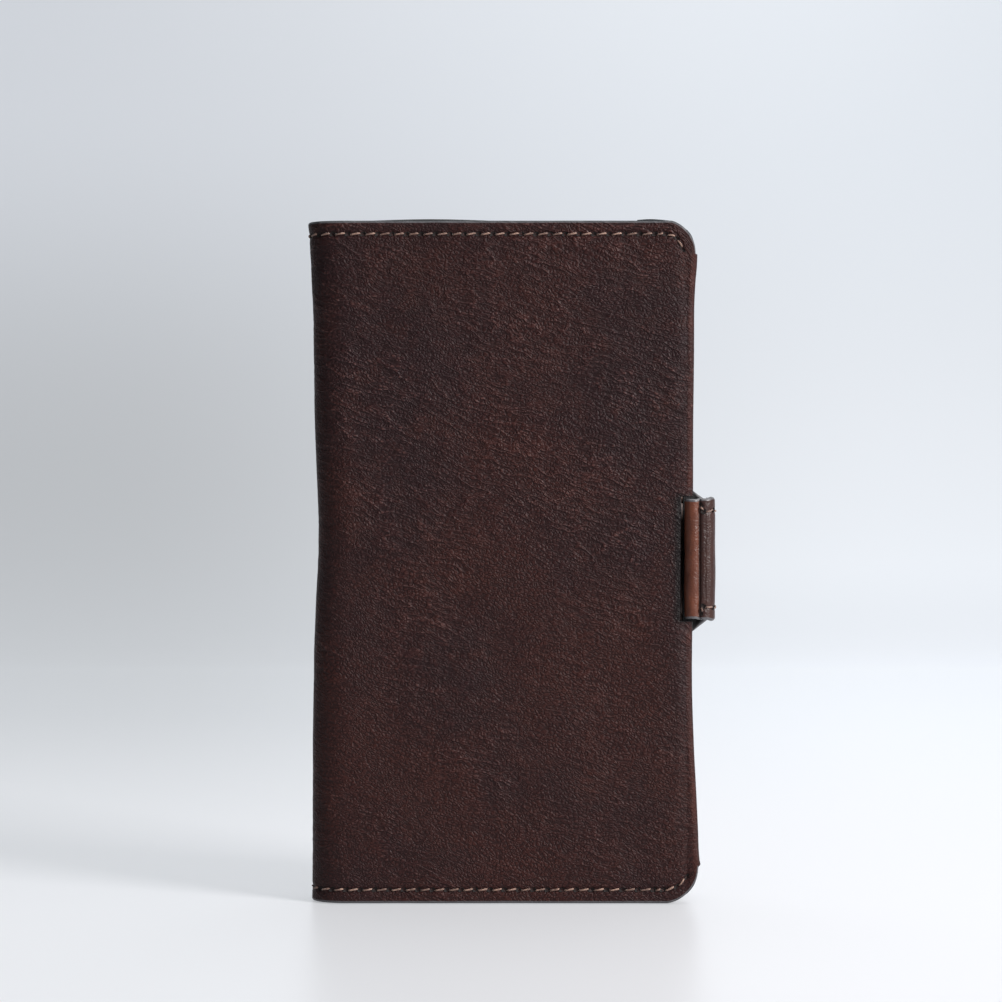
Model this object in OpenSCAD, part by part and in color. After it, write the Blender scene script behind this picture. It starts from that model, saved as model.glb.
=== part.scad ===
// Phone wallet case: a folding leather cover with a spine, card pockets, a phone tray and a magnetic strap.
// X runs from the spine to the opening edge, the front cover faces -Y, and the case stands on Z = 0.
// The origin is under the middle of the closed case.

/* [Case] */
// Height of the case
case_h = 166; // [150:1:175]
// Width from the spine to the opening edge
body_w = 93; // [90:1:98]
// Thickness of the closed case
case_t = 17; // [16.5:0.5:19]
// Outer radius of each fold beside the spine
spine_r = 6; // [5.5:0.25:6.5]
// Radius cut on the corners at the opening edge
corner_r = 7; // [6:0.5:8]

/* [Leather layers] */
// Thickness of the outer leather
outer_t = 1.4; // [1.2:0.1:1.5]
// Thickness of the bonded fibre board between the leathers
board_t = 0.6; // [0.5:0.1:0.7]
// Thickness of the lining leather
lining_t = 1.0; // [0.8:0.1:1.1]
// Width of outer leather turned in along the opening edge
flap_w = 14; // [12:1:18]
// Thickness of each pocket leather
pocket_t = 0.5; // [0.4:0.05:0.5]

/* [Pockets] */
// Depth of a card pocket, measured across the cover
card_depth = 47; // [44:1:50]
// Step from one pocket mouth to the next
card_step = 11; // [9:1:12]
// Height of the stitched line that closes the bottom of the card pockets
divider_z = 71; // [64:1:74]

/* [Phone tray] */
// Height of the phone
phone_h = 160; // [148:1:160]
// Width of the phone
phone_w = 77; // [70:1:77]
// Depth of the tray wall in front of its base
tray_depth = 7.1; // [6:0.1:7.1]
// Wall thickness of the tray
tray_wall = 1.3; // [1:0.1:1.5]
// Width of the camera window
window_w = 36; // [30:1:38]
// Height of the camera window
window_h = 38; // [30:1:40]

/* [Strap] */
// Height of the strap
strap_h = 29.9; // [24:0.1:32]
// Height of the strap's middle above the bottom edge
strap_z = 83.7; // [75:0.1:90]
// How far the strap stands out past the opening edge
strap_out = 5.5; // [5.2:0.1:6.5]
// Diameter of the rolled strap end
roll_d = 4; // [3.6:0.1:4.2]
// Depth of the notch in the front cover that the rolled end sits in
notch_depth = 3; // [3:0.1:3.5]

/* [Stitching] */
// Distance between stitches
stitch_pitch = 3.5; // [3:0.1:4]
// Distance from the cut edge to the stitch row
seam_margin = 3.3; // [3:0.1:3.6]
// Thread diameter
thread_d = 0.56; // [0.4:0.02:0.6]

/* [Hidden] */
$fn = 48;

total_w = body_w + strap_out;
x_left = -total_w / 2;
x_edge = x_left + body_w;
x_out = total_w / 2;
y_face = case_t / 2;
cover_t = outer_t + board_t + lining_t;
fold_r = cover_t / 2;
// Half the slit that parts the leather at each fold, where the model hinges
slit = 0.12;
// Longer than the case, and longer than it is thick, for cutting
far = 300;
reach = 40;
eps = 0.05;

// Centre of the front fold beside the spine; the back one is its mirror image in Y
fold_x = x_left + spine_r;
fold_y = -y_face + spine_r;

// Centres and radii of the strap's two bends
root_r = 4;
root_bend = [x_out - root_r, y_face - root_r];
front_r = 3.4;
strap_front_y = -y_face - 0.5;
front_bend = [x_out - front_r, strap_front_y + front_r];
strap_lining_t = board_t;
strap_depth = outer_t + strap_lining_t;
root_fillet = 3.6;
root_half_h = strap_h / 2 + root_fillet;
root_inside = 12;
roll_x = x_edge;
// How far the rolled end stands out in front of the strap
roll_proud = 0.2;
roll_y = strap_front_y - roll_proud + roll_d / 2;
// How far the strap runs on past its front bend, into the rolled end
run_on = 0.65;
magnet_r = 1.2;
magnet_inset = 1.95;
magnet_h = strap_h - 2 * magnet_inset;
// Play round the magnet and between the strap and the notch
magnet_play = 0.02;
notch_gap = 0.55;

// Linings, boards and pockets
board_inset = 5.6;
board_gap = 2.2;
joggle = 1.5;
panel_inset = 1;
panel_end = x_edge - 5.2;
cash_mouth = x_left + 11;
card_mouth = x_left + 20;
// Each pocket leather as [mouth, closed end]
panels = [
    [cash_mouth, panel_end],
    [card_mouth, card_mouth + card_depth],
    [card_mouth + card_step, card_mouth + card_step + card_depth],
    [card_mouth + 2 * card_step, panel_end]
];

// Tray
tray_play = 0.2;
tray_w = phone_w + 2 * (tray_wall + tray_play);
tray_h = phone_h + 2 * (tray_wall + tray_play);
tray_base = 1;
adhesive_t = 0.3;
// From the tray's wall to the opening edge
tray_gap = 4.05;
tray_x = x_edge - tray_gap - tray_w / 2;
tray_z = case_h / 2;
tray_back_y = y_face - cover_t - adhesive_t;
tray_floor_y = tray_back_y - tray_base;
tray_r = 10;
lip = 0.8;
adhesive_inset = 9;
// From the inside of the tray's wall to the camera window, beside it and above it
window_side = 3;
window_drop = 5;
window_x = tray_x + tray_w / 2 - tray_wall - window_side - window_w / 2;
window_z = tray_z + tray_h / 2 - tray_wall - window_drop - window_h / 2;
window_r = 8;
window_seam = 2;

// Stitching
stitch_l = 2.2;
stitch_slant = 9;
stitch_proud = 0.02;
// The row turns the cut corner on this radius and stops after this length of arc
seam_r = 5.2;
seam_turn = 6;
seam_corner_x = x_edge - 6.3;
fold_arc = spine_r * PI / 4;
cover_row = fold_arc + (seam_corner_x - fold_x) + seam_turn;
cover_stitches = round(cover_row / stitch_pitch);
spine_row = 2 * fold_arc + 2 * -fold_y;
spine_stitches = round(spine_row / stitch_pitch);
strap_row_z = strap_h / 2 - 3.2;
// Bare length left at each end of the strap's rows, beside the bends
strap_row_gap = 0.8;

leather = "#3b211b";
edge_brown = "#2b1a17";
tab_brown = "#55301f";
lining_black = "#1c1716";
thread_tan = "#a9806a";

// ---------- outlines ----------

// A rectangle between two corners
module slab(x0, x1, y0, y1) {
    translate([x0, y0]) square([x1 - x0, y1 - y0]);
}

// A rectangle with round corners, centred
module round_rect(w, h, r) {
    square([w - 2 * r, h], center = true);
    square([w, h - 2 * r], center = true);
    for (sx = [-1, 1], sy = [-1, 1])
        translate([sx * (w / 2 - r), sy * (h / 2 - r)]) circle(r);
}

// Everything inside the closed cover seen from above, set in from its outer face by inset
module cover_plan(inset) {
    slab(fold_x, x_edge, -y_face + inset, y_face - inset);
    slab(x_left + inset, fold_x + eps, fold_y, -fold_y);
    for (side = [-1, 1])
        translate([fold_x, side * -fold_y]) circle(spine_r - inset);
}

// One layer of the cover, from inset a to inset b
module cover_layer(a, b) {
    difference() {
        cover_plan(a);
        cover_plan(b);
        slab(x_edge - eps, x_edge + 1, -y_face + b, y_face - b);
    }
}

// The side of the front fold that belongs to the front cover
module front_side() {
    translate([fold_x + slit, fold_y - slit])
        polygon([[-reach, -reach], [reach, reach], [far, reach], [far, -reach]]);
}

// The wedge between the two folds that belongs to the spine
module spine_side() {
    translate([fold_x - fold_y - slit * 2, 0])
        polygon([[0, 0], [-reach, reach], [-reach, -reach]]);
}

// Everything inside the strap's loop seen from above, set in from its outer face by inset
module strap_plan(inset) {
    slab(x_left, root_bend.x, 0, y_face - inset);
    slab(x_left, x_out - inset, front_bend.y, root_bend.y);
    slab(x_left, front_bend.x, strap_front_y + inset, 0);
    translate(root_bend) circle(root_r - inset);
    translate(front_bend) circle(front_r - inset);
}

// One layer of the strap, from inset a to inset b
module strap_layer(a, b) {
    difference() {
        strap_plan(a);
        strap_plan(b);
    }
}

// Parts of the strap's plan on each side of its two bends
module strap_root_side() {
    translate([root_bend.x - slit, root_bend.y + slit])
        polygon([[0, 0], [reach, reach], [-reach, reach], [-reach, 0]]);
}

module strap_middle_side() {
    polygon([
        root_bend + [slit, -slit], root_bend + [reach + slit, reach - slit],
        front_bend + [reach + slit, -reach + slit], front_bend + [slit, slit]
    ]);
}

module strap_end_side() {
    translate([front_bend.x - slit, front_bend.y - slit])
        polygon([[0, 0], [reach, -reach], [-run_on, -reach], [-run_on, 0]]);
}

// ---------- shared solids ----------

// A shape drawn in X and Z, made into a plate between two Y values
module plate(y0, y1) {
    translate([0, y1, 0]) rotate([90, 0, 0]) linear_extrude(y1 - y0) children();
}

// The outline of a cover, with its two cut corners
module cover_outline() {
    slab(x_left - 1, x_edge - corner_r, 0, case_h);
    slab(x_left - 1, x_edge + 1, corner_r, case_h - corner_r);
    for (z = [corner_r, case_h - corner_r])
        translate([x_edge - corner_r, z]) circle(corner_r);
}

// The outer leather of the front cover with its edge turned in
module front_wrap() {
    intersection() {
        linear_extrude(case_h) difference() {
            union() {
                intersection() {
                    cover_layer(0, outer_t);
                    front_side();
                    slab(x_left, x_edge - fold_r, -y_face, 0);
                }
                slab(x_edge - flap_w, x_edge - fold_r, -y_face + outer_t + board_t, -y_face + cover_t);
                translate([x_edge - fold_r, -y_face + fold_r]) circle(fold_r);
            }
            slab(x_edge - 2 * fold_r - 1, x_edge - fold_r, -y_face + outer_t, -y_face + outer_t + board_t);
            translate([x_edge - fold_r, -y_face + outer_t + board_t / 2]) circle(board_t / 2);
        }
        plate(-y_face - 1, y_face) cover_outline();
    }
}

// The notch through the front cover for the rolled end of the strap
module notch() {
    h = strap_h + 2 * notch_gap;
    translate([x_edge - notch_depth, -y_face - 1, strap_z - h / 2]) cube([notch_depth + 1, case_t / 2, h]);
}

// The lining of the front cover, with the round part that meets the spine
module front_lining_layer(x_end) {
    linear_extrude(case_h) intersection() {
        union() {
            intersection() {
                cover_layer(outer_t, outer_t + lining_t);
                slab(x_left, fold_x + joggle, -y_face, 0);
            }
            slab(fold_x + joggle - 0.5, x_end, -y_face + outer_t + board_t, -y_face + cover_t);
        }
        front_side();
    }
}

// A fibre board between the leathers of the front cover
module board() {
    h = case_h - 2 * board_inset;
    x_start = fold_x + joggle + 0.2;
    translate([x_start, -y_face + outer_t, board_inset])
        cube([x_edge - board_gap - x_start, board_t, h]);
}

// Mirror image in Y, for the back cover
module to_back() {
    mirror([0, 1, 0]) children();
}

// The camera window, cut through the back cover
module window_cut(grow = 0) {
    plate(0, y_face + 1) translate([window_x, window_z])
        round_rect(window_w + 2 * grow, window_h + 2 * grow, window_r + grow);
}

// The strap's outline, which spreads into fillets where it leaves the back cover
module strap_outline() {
    slab(x_edge - root_inside, x_out + 1, strap_z - strap_h / 2, strap_z + strap_h / 2);
    difference() {
        slab(x_edge - 2, x_edge + root_fillet, strap_z - root_half_h, strap_z + root_half_h);
        for (z = [-root_half_h, root_half_h])
            translate([x_edge + root_fillet, strap_z + z]) circle(root_fillet);
    }
}

// A full-height pocket leather; i is its place in the stack, counted from the lining
module pocket_panel(i) {
    translate([panels[i][0], -y_face + cover_t + i * pocket_t, panel_inset])
        cube([panels[i][1] - panels[i][0], pocket_t, case_h - 2 * panel_inset]);
}

// ---------- stitches ----------

// One stitch: a thread bar on each face and the thread between them.
// The outer face looks along +X, the row runs along Y, and depth is the thickness sewn through.
// inner is the length on the inner face as a part of the outer one: it is shorter round a bend.
module stitch(depth, slant = stitch_slant, inner = 1) {
    translate([stitch_proud, 0, 0]) thread_bar(stitch_l, slant);
    translate([-depth - stitch_proud, 0, 0]) thread_bar(stitch_l * inner, slant);
    rotate([0, -90, 0]) cylinder(d = thread_d * 0.8, h = depth);
}

module thread_bar(length, slant) {
    rotate([slant + 90, 0, 0]) cylinder(d = thread_d, h = length, center = true);
}

// A stitch through a bend of radius r, at an angle from +X
module bend_stitch(centre, r, angle, z, depth) {
    translate([centre.x, centre.y, z]) rotate([0, 0, angle])
        translate([r, 0, 0]) stitch(depth, stitch_slant, (r - depth) / r);
}

// Thickness sewn through on the front cover at x
function sewn(x) = cover_t + pocket_t * max([for (i = [0:3]) x > panels[i][0] && x < panels[i][1] ? i + 1 : 0]);

// A stitch of the front cover's row, u along it from the fold; up is 1 for the top row and -1 for the bottom
module cover_stitch(u, up, pockets) {
    z_mid = case_h / 2;
    row_z = z_mid + up * (z_mid - seam_margin);
    x = fold_x + u - fold_arc;
    turn = (x - seam_corner_x) / seam_r * 180 / PI;
    if (u < fold_arc)
        bend_stitch([fold_x, fold_y], spine_r, 225 + u / spine_r * 180 / PI, row_z, outer_t + lining_t);
    else if (turn <= 0)
        translate([x, -y_face, row_z]) rotate([0, 0, -90]) stitch(pockets ? sewn(x) : cover_t);
    else
        translate([seam_corner_x + seam_r * sin(turn), -y_face, row_z - up * seam_r * (1 - cos(turn))])
            rotate([0, 0, -90]) rotate([-up * turn, 0, 0]) stitch(cover_t);
}

module cover_seam(up, pockets) {
    pitch = cover_row / cover_stitches;
    for (i = [0:cover_stitches - 1])
        cover_stitch((i + 0.5) * pitch, up, pockets);
}

module spine_seam(row_z) {
    pitch = spine_row / spine_stitches;
    for (i = [0:spine_stitches - 1], y = -spine_row / 2 + (i + 0.5) * pitch)
        if (abs(y) < -fold_y)
            translate([x_left, y, row_z]) rotate([0, 0, 180]) stitch(outer_t + lining_t);
        else
            bend_stitch([fold_x, sign(y) * -fold_y], spine_r,
                180 - sign(y) * (abs(y) + fold_y) / spine_r * 180 / PI, row_z, outer_t + lining_t);
}

// ---------- front cover ----------

module front_cover_leather() {
    color(leather) difference() {
        front_wrap();
        notch();
    }
}

module front_lining() {
    color(edge_brown) front_lining_layer(x_edge - flap_w - 0.1);
}

module front_board() {
    color("#8a6f55") difference() {
        board();
        notch();
        translate([0, -eps, 0]) catch_plate_shape(0.15);
    }
}

// The steel strip in the front cover that the rolled end holds on to
module catch_plate_shape(grow) {
    w = 8;
    h = strap_h - 4;
    translate([x_edge - notch_depth - 0.9 - w - grow, -y_face + outer_t, strap_z - h / 2 - grow])
        cube([w + 2 * grow, board_t + (grow > 0 ? 2 * eps : 0), h + 2 * grow]);
}

module catch_plate() {
    color("silver") catch_plate_shape(0);
}

module cash_pocket_panel() {
    color(tab_brown) pocket_panel(0);
}

module card_pocket_back() {
    color(tab_brown) pocket_panel(1);
}

module card_pocket_middle() {
    color(tab_brown) pocket_panel(2);
}

module card_pocket_front() {
    color(tab_brown) pocket_panel(3);
}

module front_top_seam() {
    color(thread_tan) cover_seam(1, true);
}

module front_bottom_seam() {
    color(thread_tan) cover_seam(-1, true);
}

// A row of stitches through the three card pockets only, over the cash pocket
module pocket_divider_seam() {
    count = floor((panel_end - panels[1][0] - 4) / stitch_pitch);
    color(thread_tan) for (i = [0:count - 1], x = panels[1][0] + 2 + (i + 0.5) * stitch_pitch) {
        face = -y_face + sewn(x);
        back = -y_face + cover_t;
        translate([x, face, divider_z]) rotate([0, 0, 90]) stitch(face - back - thread_d, 0);
    }
}

// ---------- spine ----------

module spine_leather() {
    color(leather) linear_extrude(case_h) intersection() {
        cover_layer(0, outer_t);
        spine_side();
    }
}

module spine_lining() {
    color(edge_brown) linear_extrude(case_h) intersection() {
        cover_layer(outer_t, outer_t + lining_t);
        spine_side();
    }
}

module spine_top_seam() {
    color(thread_tan) spine_seam(case_h - seam_margin);
}

module spine_bottom_seam() {
    color(thread_tan) spine_seam(seam_margin);
}

// ---------- back cover ----------

module back_cover_leather() {
    color(leather) difference() {
        union() {
            difference() {
                to_back() front_wrap();
                translate([x_edge - flap_w - 1, 0, strap_z - root_half_h])
                    cube([flap_w + 3, y_face - outer_t, 2 * root_half_h]);
            }
            intersection() {
                linear_extrude(case_h) intersection() {
                    strap_layer(0, outer_t);
                    strap_root_side();
                    slab(x_edge - 4, x_out, 0, y_face);
                }
                plate(0, y_face + 1) strap_outline();
            }
        }
        window_cut();
    }
}

module back_lining() {
    tongue_h = 2 * root_half_h - 0.4;
    color(edge_brown) difference() {
        union() {
            to_back() front_lining_layer(x_edge - flap_w - 0.1);
            translate([x_edge - flap_w - 1, y_face - cover_t, strap_z - tongue_h / 2])
                cube([flap_w + 0.5, lining_t, tongue_h]);
        }
        window_cut();
    }
}

module back_board() {
    color("#8a6f55") difference() {
        to_back() board();
        window_cut(window_seam + 1.5);
        translate([x_edge - root_inside - 0.3, 0, strap_z - root_half_h - 0.3])
            cube([root_inside + 1, y_face + 1, 2 * root_half_h + 0.6]);
    }
}

module tray_adhesive() {
    low = adhesive_inset + 3;
    high = window_z - window_h / 2 - adhesive_inset;
    color("gray") translate([tray_x - tray_w / 2 + adhesive_inset, tray_back_y, low])
        cube([tray_w - 2 * adhesive_inset, adhesive_t, high - low]);
}

module phone_tray() {
    inner_w = tray_w - 2 * tray_wall;
    inner_h = tray_h - 2 * tray_wall;
    front_y = tray_floor_y - tray_depth;
    color("#202023") difference() {
        plate(front_y, tray_back_y) translate([tray_x, tray_z]) round_rect(tray_w, tray_h, tray_r);
        plate(front_y + 1, tray_floor_y)
            translate([tray_x, tray_z]) round_rect(inner_w, inner_h, tray_r - tray_wall);
        plate(front_y - 1, tray_floor_y) translate([tray_x, tray_z])
            round_rect(inner_w - 2 * lip, inner_h - 2 * lip, tray_r - tray_wall - lip);
        window_cut();
    }
}

module back_top_seam() {
    color(thread_tan) to_back() cover_seam(1, false);
}

module back_bottom_seam() {
    color(thread_tan) to_back() cover_seam(-1, false);
}

// Stitches round the camera window, through the two leathers of the back cover
module camera_window_seam() {
    w = window_w + 2 * window_seam;
    h = window_h + 2 * window_seam;
    r = window_r + window_seam;
    across = round((w - 2 * r) / stitch_pitch);
    upright = round((h - 2 * r) / stitch_pitch);
    corner = round(r * PI / 2 / stitch_pitch);
    color(thread_tan) translate([window_x, y_face, window_z]) {
        for (up = [0, 1], i = [0:across - 1])
            rotate([0, 180 * up, 0])
                translate([-w / 2 + r + (i + 0.5) * (w - 2 * r) / across, 0, h / 2])
                    rotate([0, 0, 90]) stitch(cover_t);
        for (right = [0, 1], i = [0:upright - 1])
            rotate([0, 180 * right, 0])
                translate([w / 2, 0, -h / 2 + r + (i + 0.5) * (h - 2 * r) / upright])
                    rotate([0, 0, 90]) rotate([90, 0, 0]) stitch(cover_t);
        for (sx = [-1, 1], sz = [-1, 1], i = [0:corner - 1], a = 90 * (i + 0.5) / corner)
            translate([sx * (w / 2 - r + r * cos(a)), 0, sz * (h / 2 - r + r * sin(a))])
                rotate([0, 0, 90]) rotate([-sx * sz * (90 - a), 0, 0]) stitch(cover_t, -sx * sz * stitch_slant);
    }
}

module strap_root_lining() {
    color(lining_black) intersection() {
        linear_extrude(case_h) intersection() {
            strap_layer(outer_t, strap_depth);
            strap_root_side();
            slab(x_edge - root_inside, x_out, 0, y_face);
        }
        plate(0, y_face + 1) strap_outline();
    }
}

// The rows that hold the strap's lining in the back cover
module strap_root_seam() {
    count = 7;
    inner_x = x_edge - root_inside + 2;
    span = 2 * strap_row_z;
    color(thread_tan) {
        for (i = [0:count - 1])
            translate([inner_x, y_face, strap_z - span / 2 + (i + 0.5) * span / count])
                rotate([0, 0, 90]) rotate([90, 0, 0]) stitch(cover_t);
        for (z = [-strap_row_z, strap_row_z], i = [0:2])
            translate([inner_x + 0.4 + (i + 0.5) * stitch_pitch, y_face, strap_z + z])
                rotate([0, 0, 90]) stitch(cover_t);
    }
}

// ---------- strap ----------

module strap_leather() {
    color(tab_brown) intersection() {
        linear_extrude(case_h) intersection() {
            strap_layer(0, outer_t);
            strap_middle_side();
        }
        plate(strap_front_y - 1, y_face + 1) strap_outline();
    }
}

module strap_lining() {
    color(lining_black) intersection() {
        linear_extrude(case_h) intersection() {
            strap_layer(outer_t, strap_depth);
            strap_middle_side();
        }
        plate(strap_front_y - 1, y_face + 1) strap_outline();
    }
}

// A stitch of the strap's row, u along it from the root bend
module strap_stitch(u, z) {
    root_arc = root_r * PI / 4;
    side = root_bend.y - front_bend.y;
    v = u - root_arc;
    if (u < root_arc)
        bend_stitch(root_bend, root_r, 45 - u / root_r * 180 / PI, z, strap_depth);
    else if (v < side)
        translate([x_out, root_bend.y - v, z]) stitch(strap_depth);
    else
        bend_stitch(front_bend, front_r, -(v - side) / front_r * 180 / PI, z, strap_depth);
}

module strap_seam() {
    row = (root_r + front_r) * PI / 4 + root_bend.y - front_bend.y - 2 * strap_row_gap;
    count = round(row / stitch_pitch);
    color(thread_tan) for (z = [-strap_row_z, strap_row_z], i = [0:count - 1])
        strap_stitch(strap_row_gap + (i + 0.5) * row / count, strap_z + z);
}

// ---------- strap end ----------

module strap_end_leather() {
    color(tab_brown) difference() {
        union() {
            translate([0, 0, strap_z - strap_h / 2]) linear_extrude(strap_h) intersection() {
                strap_layer(0, outer_t);
                strap_end_side();
            }
            translate([roll_x, roll_y, strap_z - strap_h / 2]) cylinder(d = roll_d, h = strap_h);
        }
        translate([roll_x, roll_y, strap_z]) 
            cylinder(r = magnet_r + magnet_play, h = magnet_h + 0.4, center = true);
    }
}

module strap_end_lining() {
    color(lining_black) translate([0, 0, strap_z - strap_h / 2]) linear_extrude(strap_h) intersection() {
        strap_layer(outer_t, strap_depth);
        strap_end_side();
        slab(roll_x + roll_d / 2 + eps, x_out, strap_front_y, 0);
    }
}

module strap_magnet() {
    color("silver") translate([roll_x, roll_y, strap_z]) cylinder(r = magnet_r, h = magnet_h, center = true);
}

// The rows that end behind the rolled end: one stitch on the bend and one that turns out to the edge
module strap_end_seam() {
    row_angle = -79;
    turned_angle = -88;
    turned_z = strap_row_z + 1.7;
    color(thread_tan) for (up = [-1, 1]) {
        bend_stitch(front_bend, front_r, row_angle, strap_z + up * strap_row_z, strap_depth);
        translate([front_bend.x, front_bend.y, strap_z + up * turned_z]) rotate([0, 0, turned_angle])
            translate([front_r, 0, 0]) rotate([90, 0, 0]) stitch(strap_depth);
    }
}

front_cover_leather();
front_lining();
front_board();
catch_plate();
cash_pocket_panel();
card_pocket_back();
card_pocket_middle();
card_pocket_front();
front_top_seam();
front_bottom_seam();
pocket_divider_seam();
spine_leather();
spine_lining();
spine_top_seam();
spine_bottom_seam();
back_cover_leather();
back_lining();
back_board();
tray_adhesive();
phone_tray();
back_top_seam();
back_bottom_seam();
camera_window_seam();
strap_root_lining();
strap_root_seam();
strap_leather();
strap_lining();
strap_seam();
strap_end_leather();
strap_end_lining();
strap_magnet();
strap_end_seam();
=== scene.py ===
# Looks of the phone wallet case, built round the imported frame. Lengths are millimetres until put_mesh().
import math

import bpy
import numpy as np
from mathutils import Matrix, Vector


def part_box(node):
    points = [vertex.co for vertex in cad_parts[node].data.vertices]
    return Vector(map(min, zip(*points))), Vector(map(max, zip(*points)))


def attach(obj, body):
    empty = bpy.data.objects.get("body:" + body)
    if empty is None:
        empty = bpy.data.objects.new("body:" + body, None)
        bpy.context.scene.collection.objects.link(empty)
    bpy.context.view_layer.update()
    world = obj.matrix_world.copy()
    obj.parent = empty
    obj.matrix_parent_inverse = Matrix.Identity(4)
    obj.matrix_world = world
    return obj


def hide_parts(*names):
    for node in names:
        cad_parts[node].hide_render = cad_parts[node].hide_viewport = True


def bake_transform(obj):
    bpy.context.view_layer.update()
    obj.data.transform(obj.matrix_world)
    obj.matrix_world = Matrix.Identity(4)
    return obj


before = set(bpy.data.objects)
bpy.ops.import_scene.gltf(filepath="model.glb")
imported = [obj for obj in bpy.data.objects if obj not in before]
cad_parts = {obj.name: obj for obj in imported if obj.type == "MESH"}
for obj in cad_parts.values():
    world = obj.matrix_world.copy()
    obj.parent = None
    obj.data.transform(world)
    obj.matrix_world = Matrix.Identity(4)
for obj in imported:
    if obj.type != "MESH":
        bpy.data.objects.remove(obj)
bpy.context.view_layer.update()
MM = 0.001


def node_box(name):
    """A CAD node's lowest and highest corners, in millimetres."""
    low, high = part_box(name)
    return np.array(low) / MM, np.array(high) / MM


# ---------- dimensions read from the frame ----------

front_low, front_high = node_box("front_cover_leather")
back_high = node_box("back_cover_leather")[1]
spine_low = node_box("spine_leather")[0]
strap_high = node_box("strap_leather")[1]
end_low, end_high = node_box("strap_end_leather")
window_low, window_high = node_box("camera_window_seam")

CASE_H = front_high[2]
X_LEFT = spine_low[0]
X_EDGE = front_high[0]
Y_FACE = back_high[1]
X_OUT = strap_high[0]
OUTER_T = 1.4
LINING_T = 1.0
BOARD_T = 0.6
POCKET_T = 0.5
STRAP_LINING_T = 0.6
COVER_T = front_high[1] - front_low[1]
FLAP_W = X_EDGE - node_box("front_lining")[1][0]
FOLD_R = COVER_T / 2
SPINE_R = 6.0
SEAM_MARGIN = 3.3
STITCH_PITCH = 3.5
STRAP_MARGIN = 3.2
STRAP_Z = (end_low[2] + end_high[2]) / 2
STRAP_HALF = (end_high[2] - end_low[2]) / 2
STRAP_FRONT = -Y_FACE - 0.5
ROOT_R = 4.0
FRONT_R = 3.4
ROOT_FILLET = 3.6
# The strap rises a little on its way forward, so its root sits lower in the back cover
ROOT_DROP = 0.9
ROLL_D = 4.0
ROLL = np.array([X_EDGE, STRAP_FRONT - 0.2 + ROLL_D / 2])
# Where the strap folds in against its own roll
CREASE = ROLL + (1.72, -1.30)
NOTCH_DEPTH = 3.0
NOTCH_HALF = STRAP_HALF + 0.2
FOLD = np.array([X_LEFT + SPINE_R, -Y_FACE + SPINE_R])
ROOT_BEND = np.array([X_OUT - ROOT_R, Y_FACE - ROOT_R])
FRONT_BEND = np.array([X_OUT - FRONT_R, STRAP_FRONT + FRONT_R])


# ---------- numbers ----------

def smooth(t):
    """A ramp from 0 to 1 with flat ends."""
    t = np.clip(t, 0, 1)
    return t * t * (3 - 2 * t)


def peak(distance, width):
    """A bell that is 1 at no distance."""
    return np.exp(-((distance / width) ** 2))


def run_along(points):
    """The running length along a line of points."""
    return np.concatenate([[0], np.cumsum(np.linalg.norm(np.diff(points, axis=0), axis=1))])


def curve(z, points):
    """A smooth curve through a few (z, value) points."""
    zs, values = np.array(points, float).T
    slopes = np.gradient(values, zs)
    i = np.clip(np.searchsorted(zs, z) - 1, 0, len(zs) - 2)
    w = zs[i + 1] - zs[i]
    t = np.clip((z - zs[i]) / w, 0, 1)
    a = (1 + 2 * t) * (1 - t) ** 2 * values[i] + t * (1 - t) ** 2 * w * slopes[i]
    b = t * t * (3 - 2 * t) * values[i + 1] + t * t * (t - 1) * w * slopes[i + 1]
    return a + b


def noise(x, y, seed):
    """Gradient noise from about -1 to 1, the same on every run."""
    rng = np.random.default_rng(seed)
    table = rng.permutation(256)
    turn = rng.random(256) * 2 * math.pi
    x, y = np.broadcast_arrays(np.asarray(x, float), np.asarray(y, float))
    xi, yi = np.floor(x).astype(int), np.floor(y).astype(int)
    xf, yf = x - xi, y - yi

    def corner(dx, dy):
        h = turn[table[(table[(xi + dx) & 255] + yi + dy) & 255]]
        return np.cos(h) * (xf - dx) + np.sin(h) * (yf - dy)

    fx, fy = xf**3 * (xf * (xf * 6 - 15) + 10), yf**3 * (yf * (yf * 6 - 15) + 10)
    low = corner(0, 0) * (1 - fx) + corner(1, 0) * fx
    high = corner(0, 1) * (1 - fx) + corner(1, 1) * fx
    return (low * (1 - fy) + high * fy) * 1.5


def lines(a, b, step, zones=(), exact=()):
    """Grid coordinates from a to b, closer inside each (low, high, step) zone, passing through exact."""
    inner = [*exact, *[end for zone in zones for end in zone[:2]]]
    stops = sorted({a, b, *[stop for stop in inner if a < stop < b]})
    found = [a]
    for low, high in zip(stops, stops[1:], strict=False):
        middle = (low + high) / 2
        size = min([step] + [z[2] for z in zones if z[0] <= middle <= z[1]])
        count = max(1, math.ceil((high - low) / size - 1e-6))
        found += [low + (high - low) * (i + 1) / count for i in range(count)]
    return np.array(found)


# ---------- mesh building ----------

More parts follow.
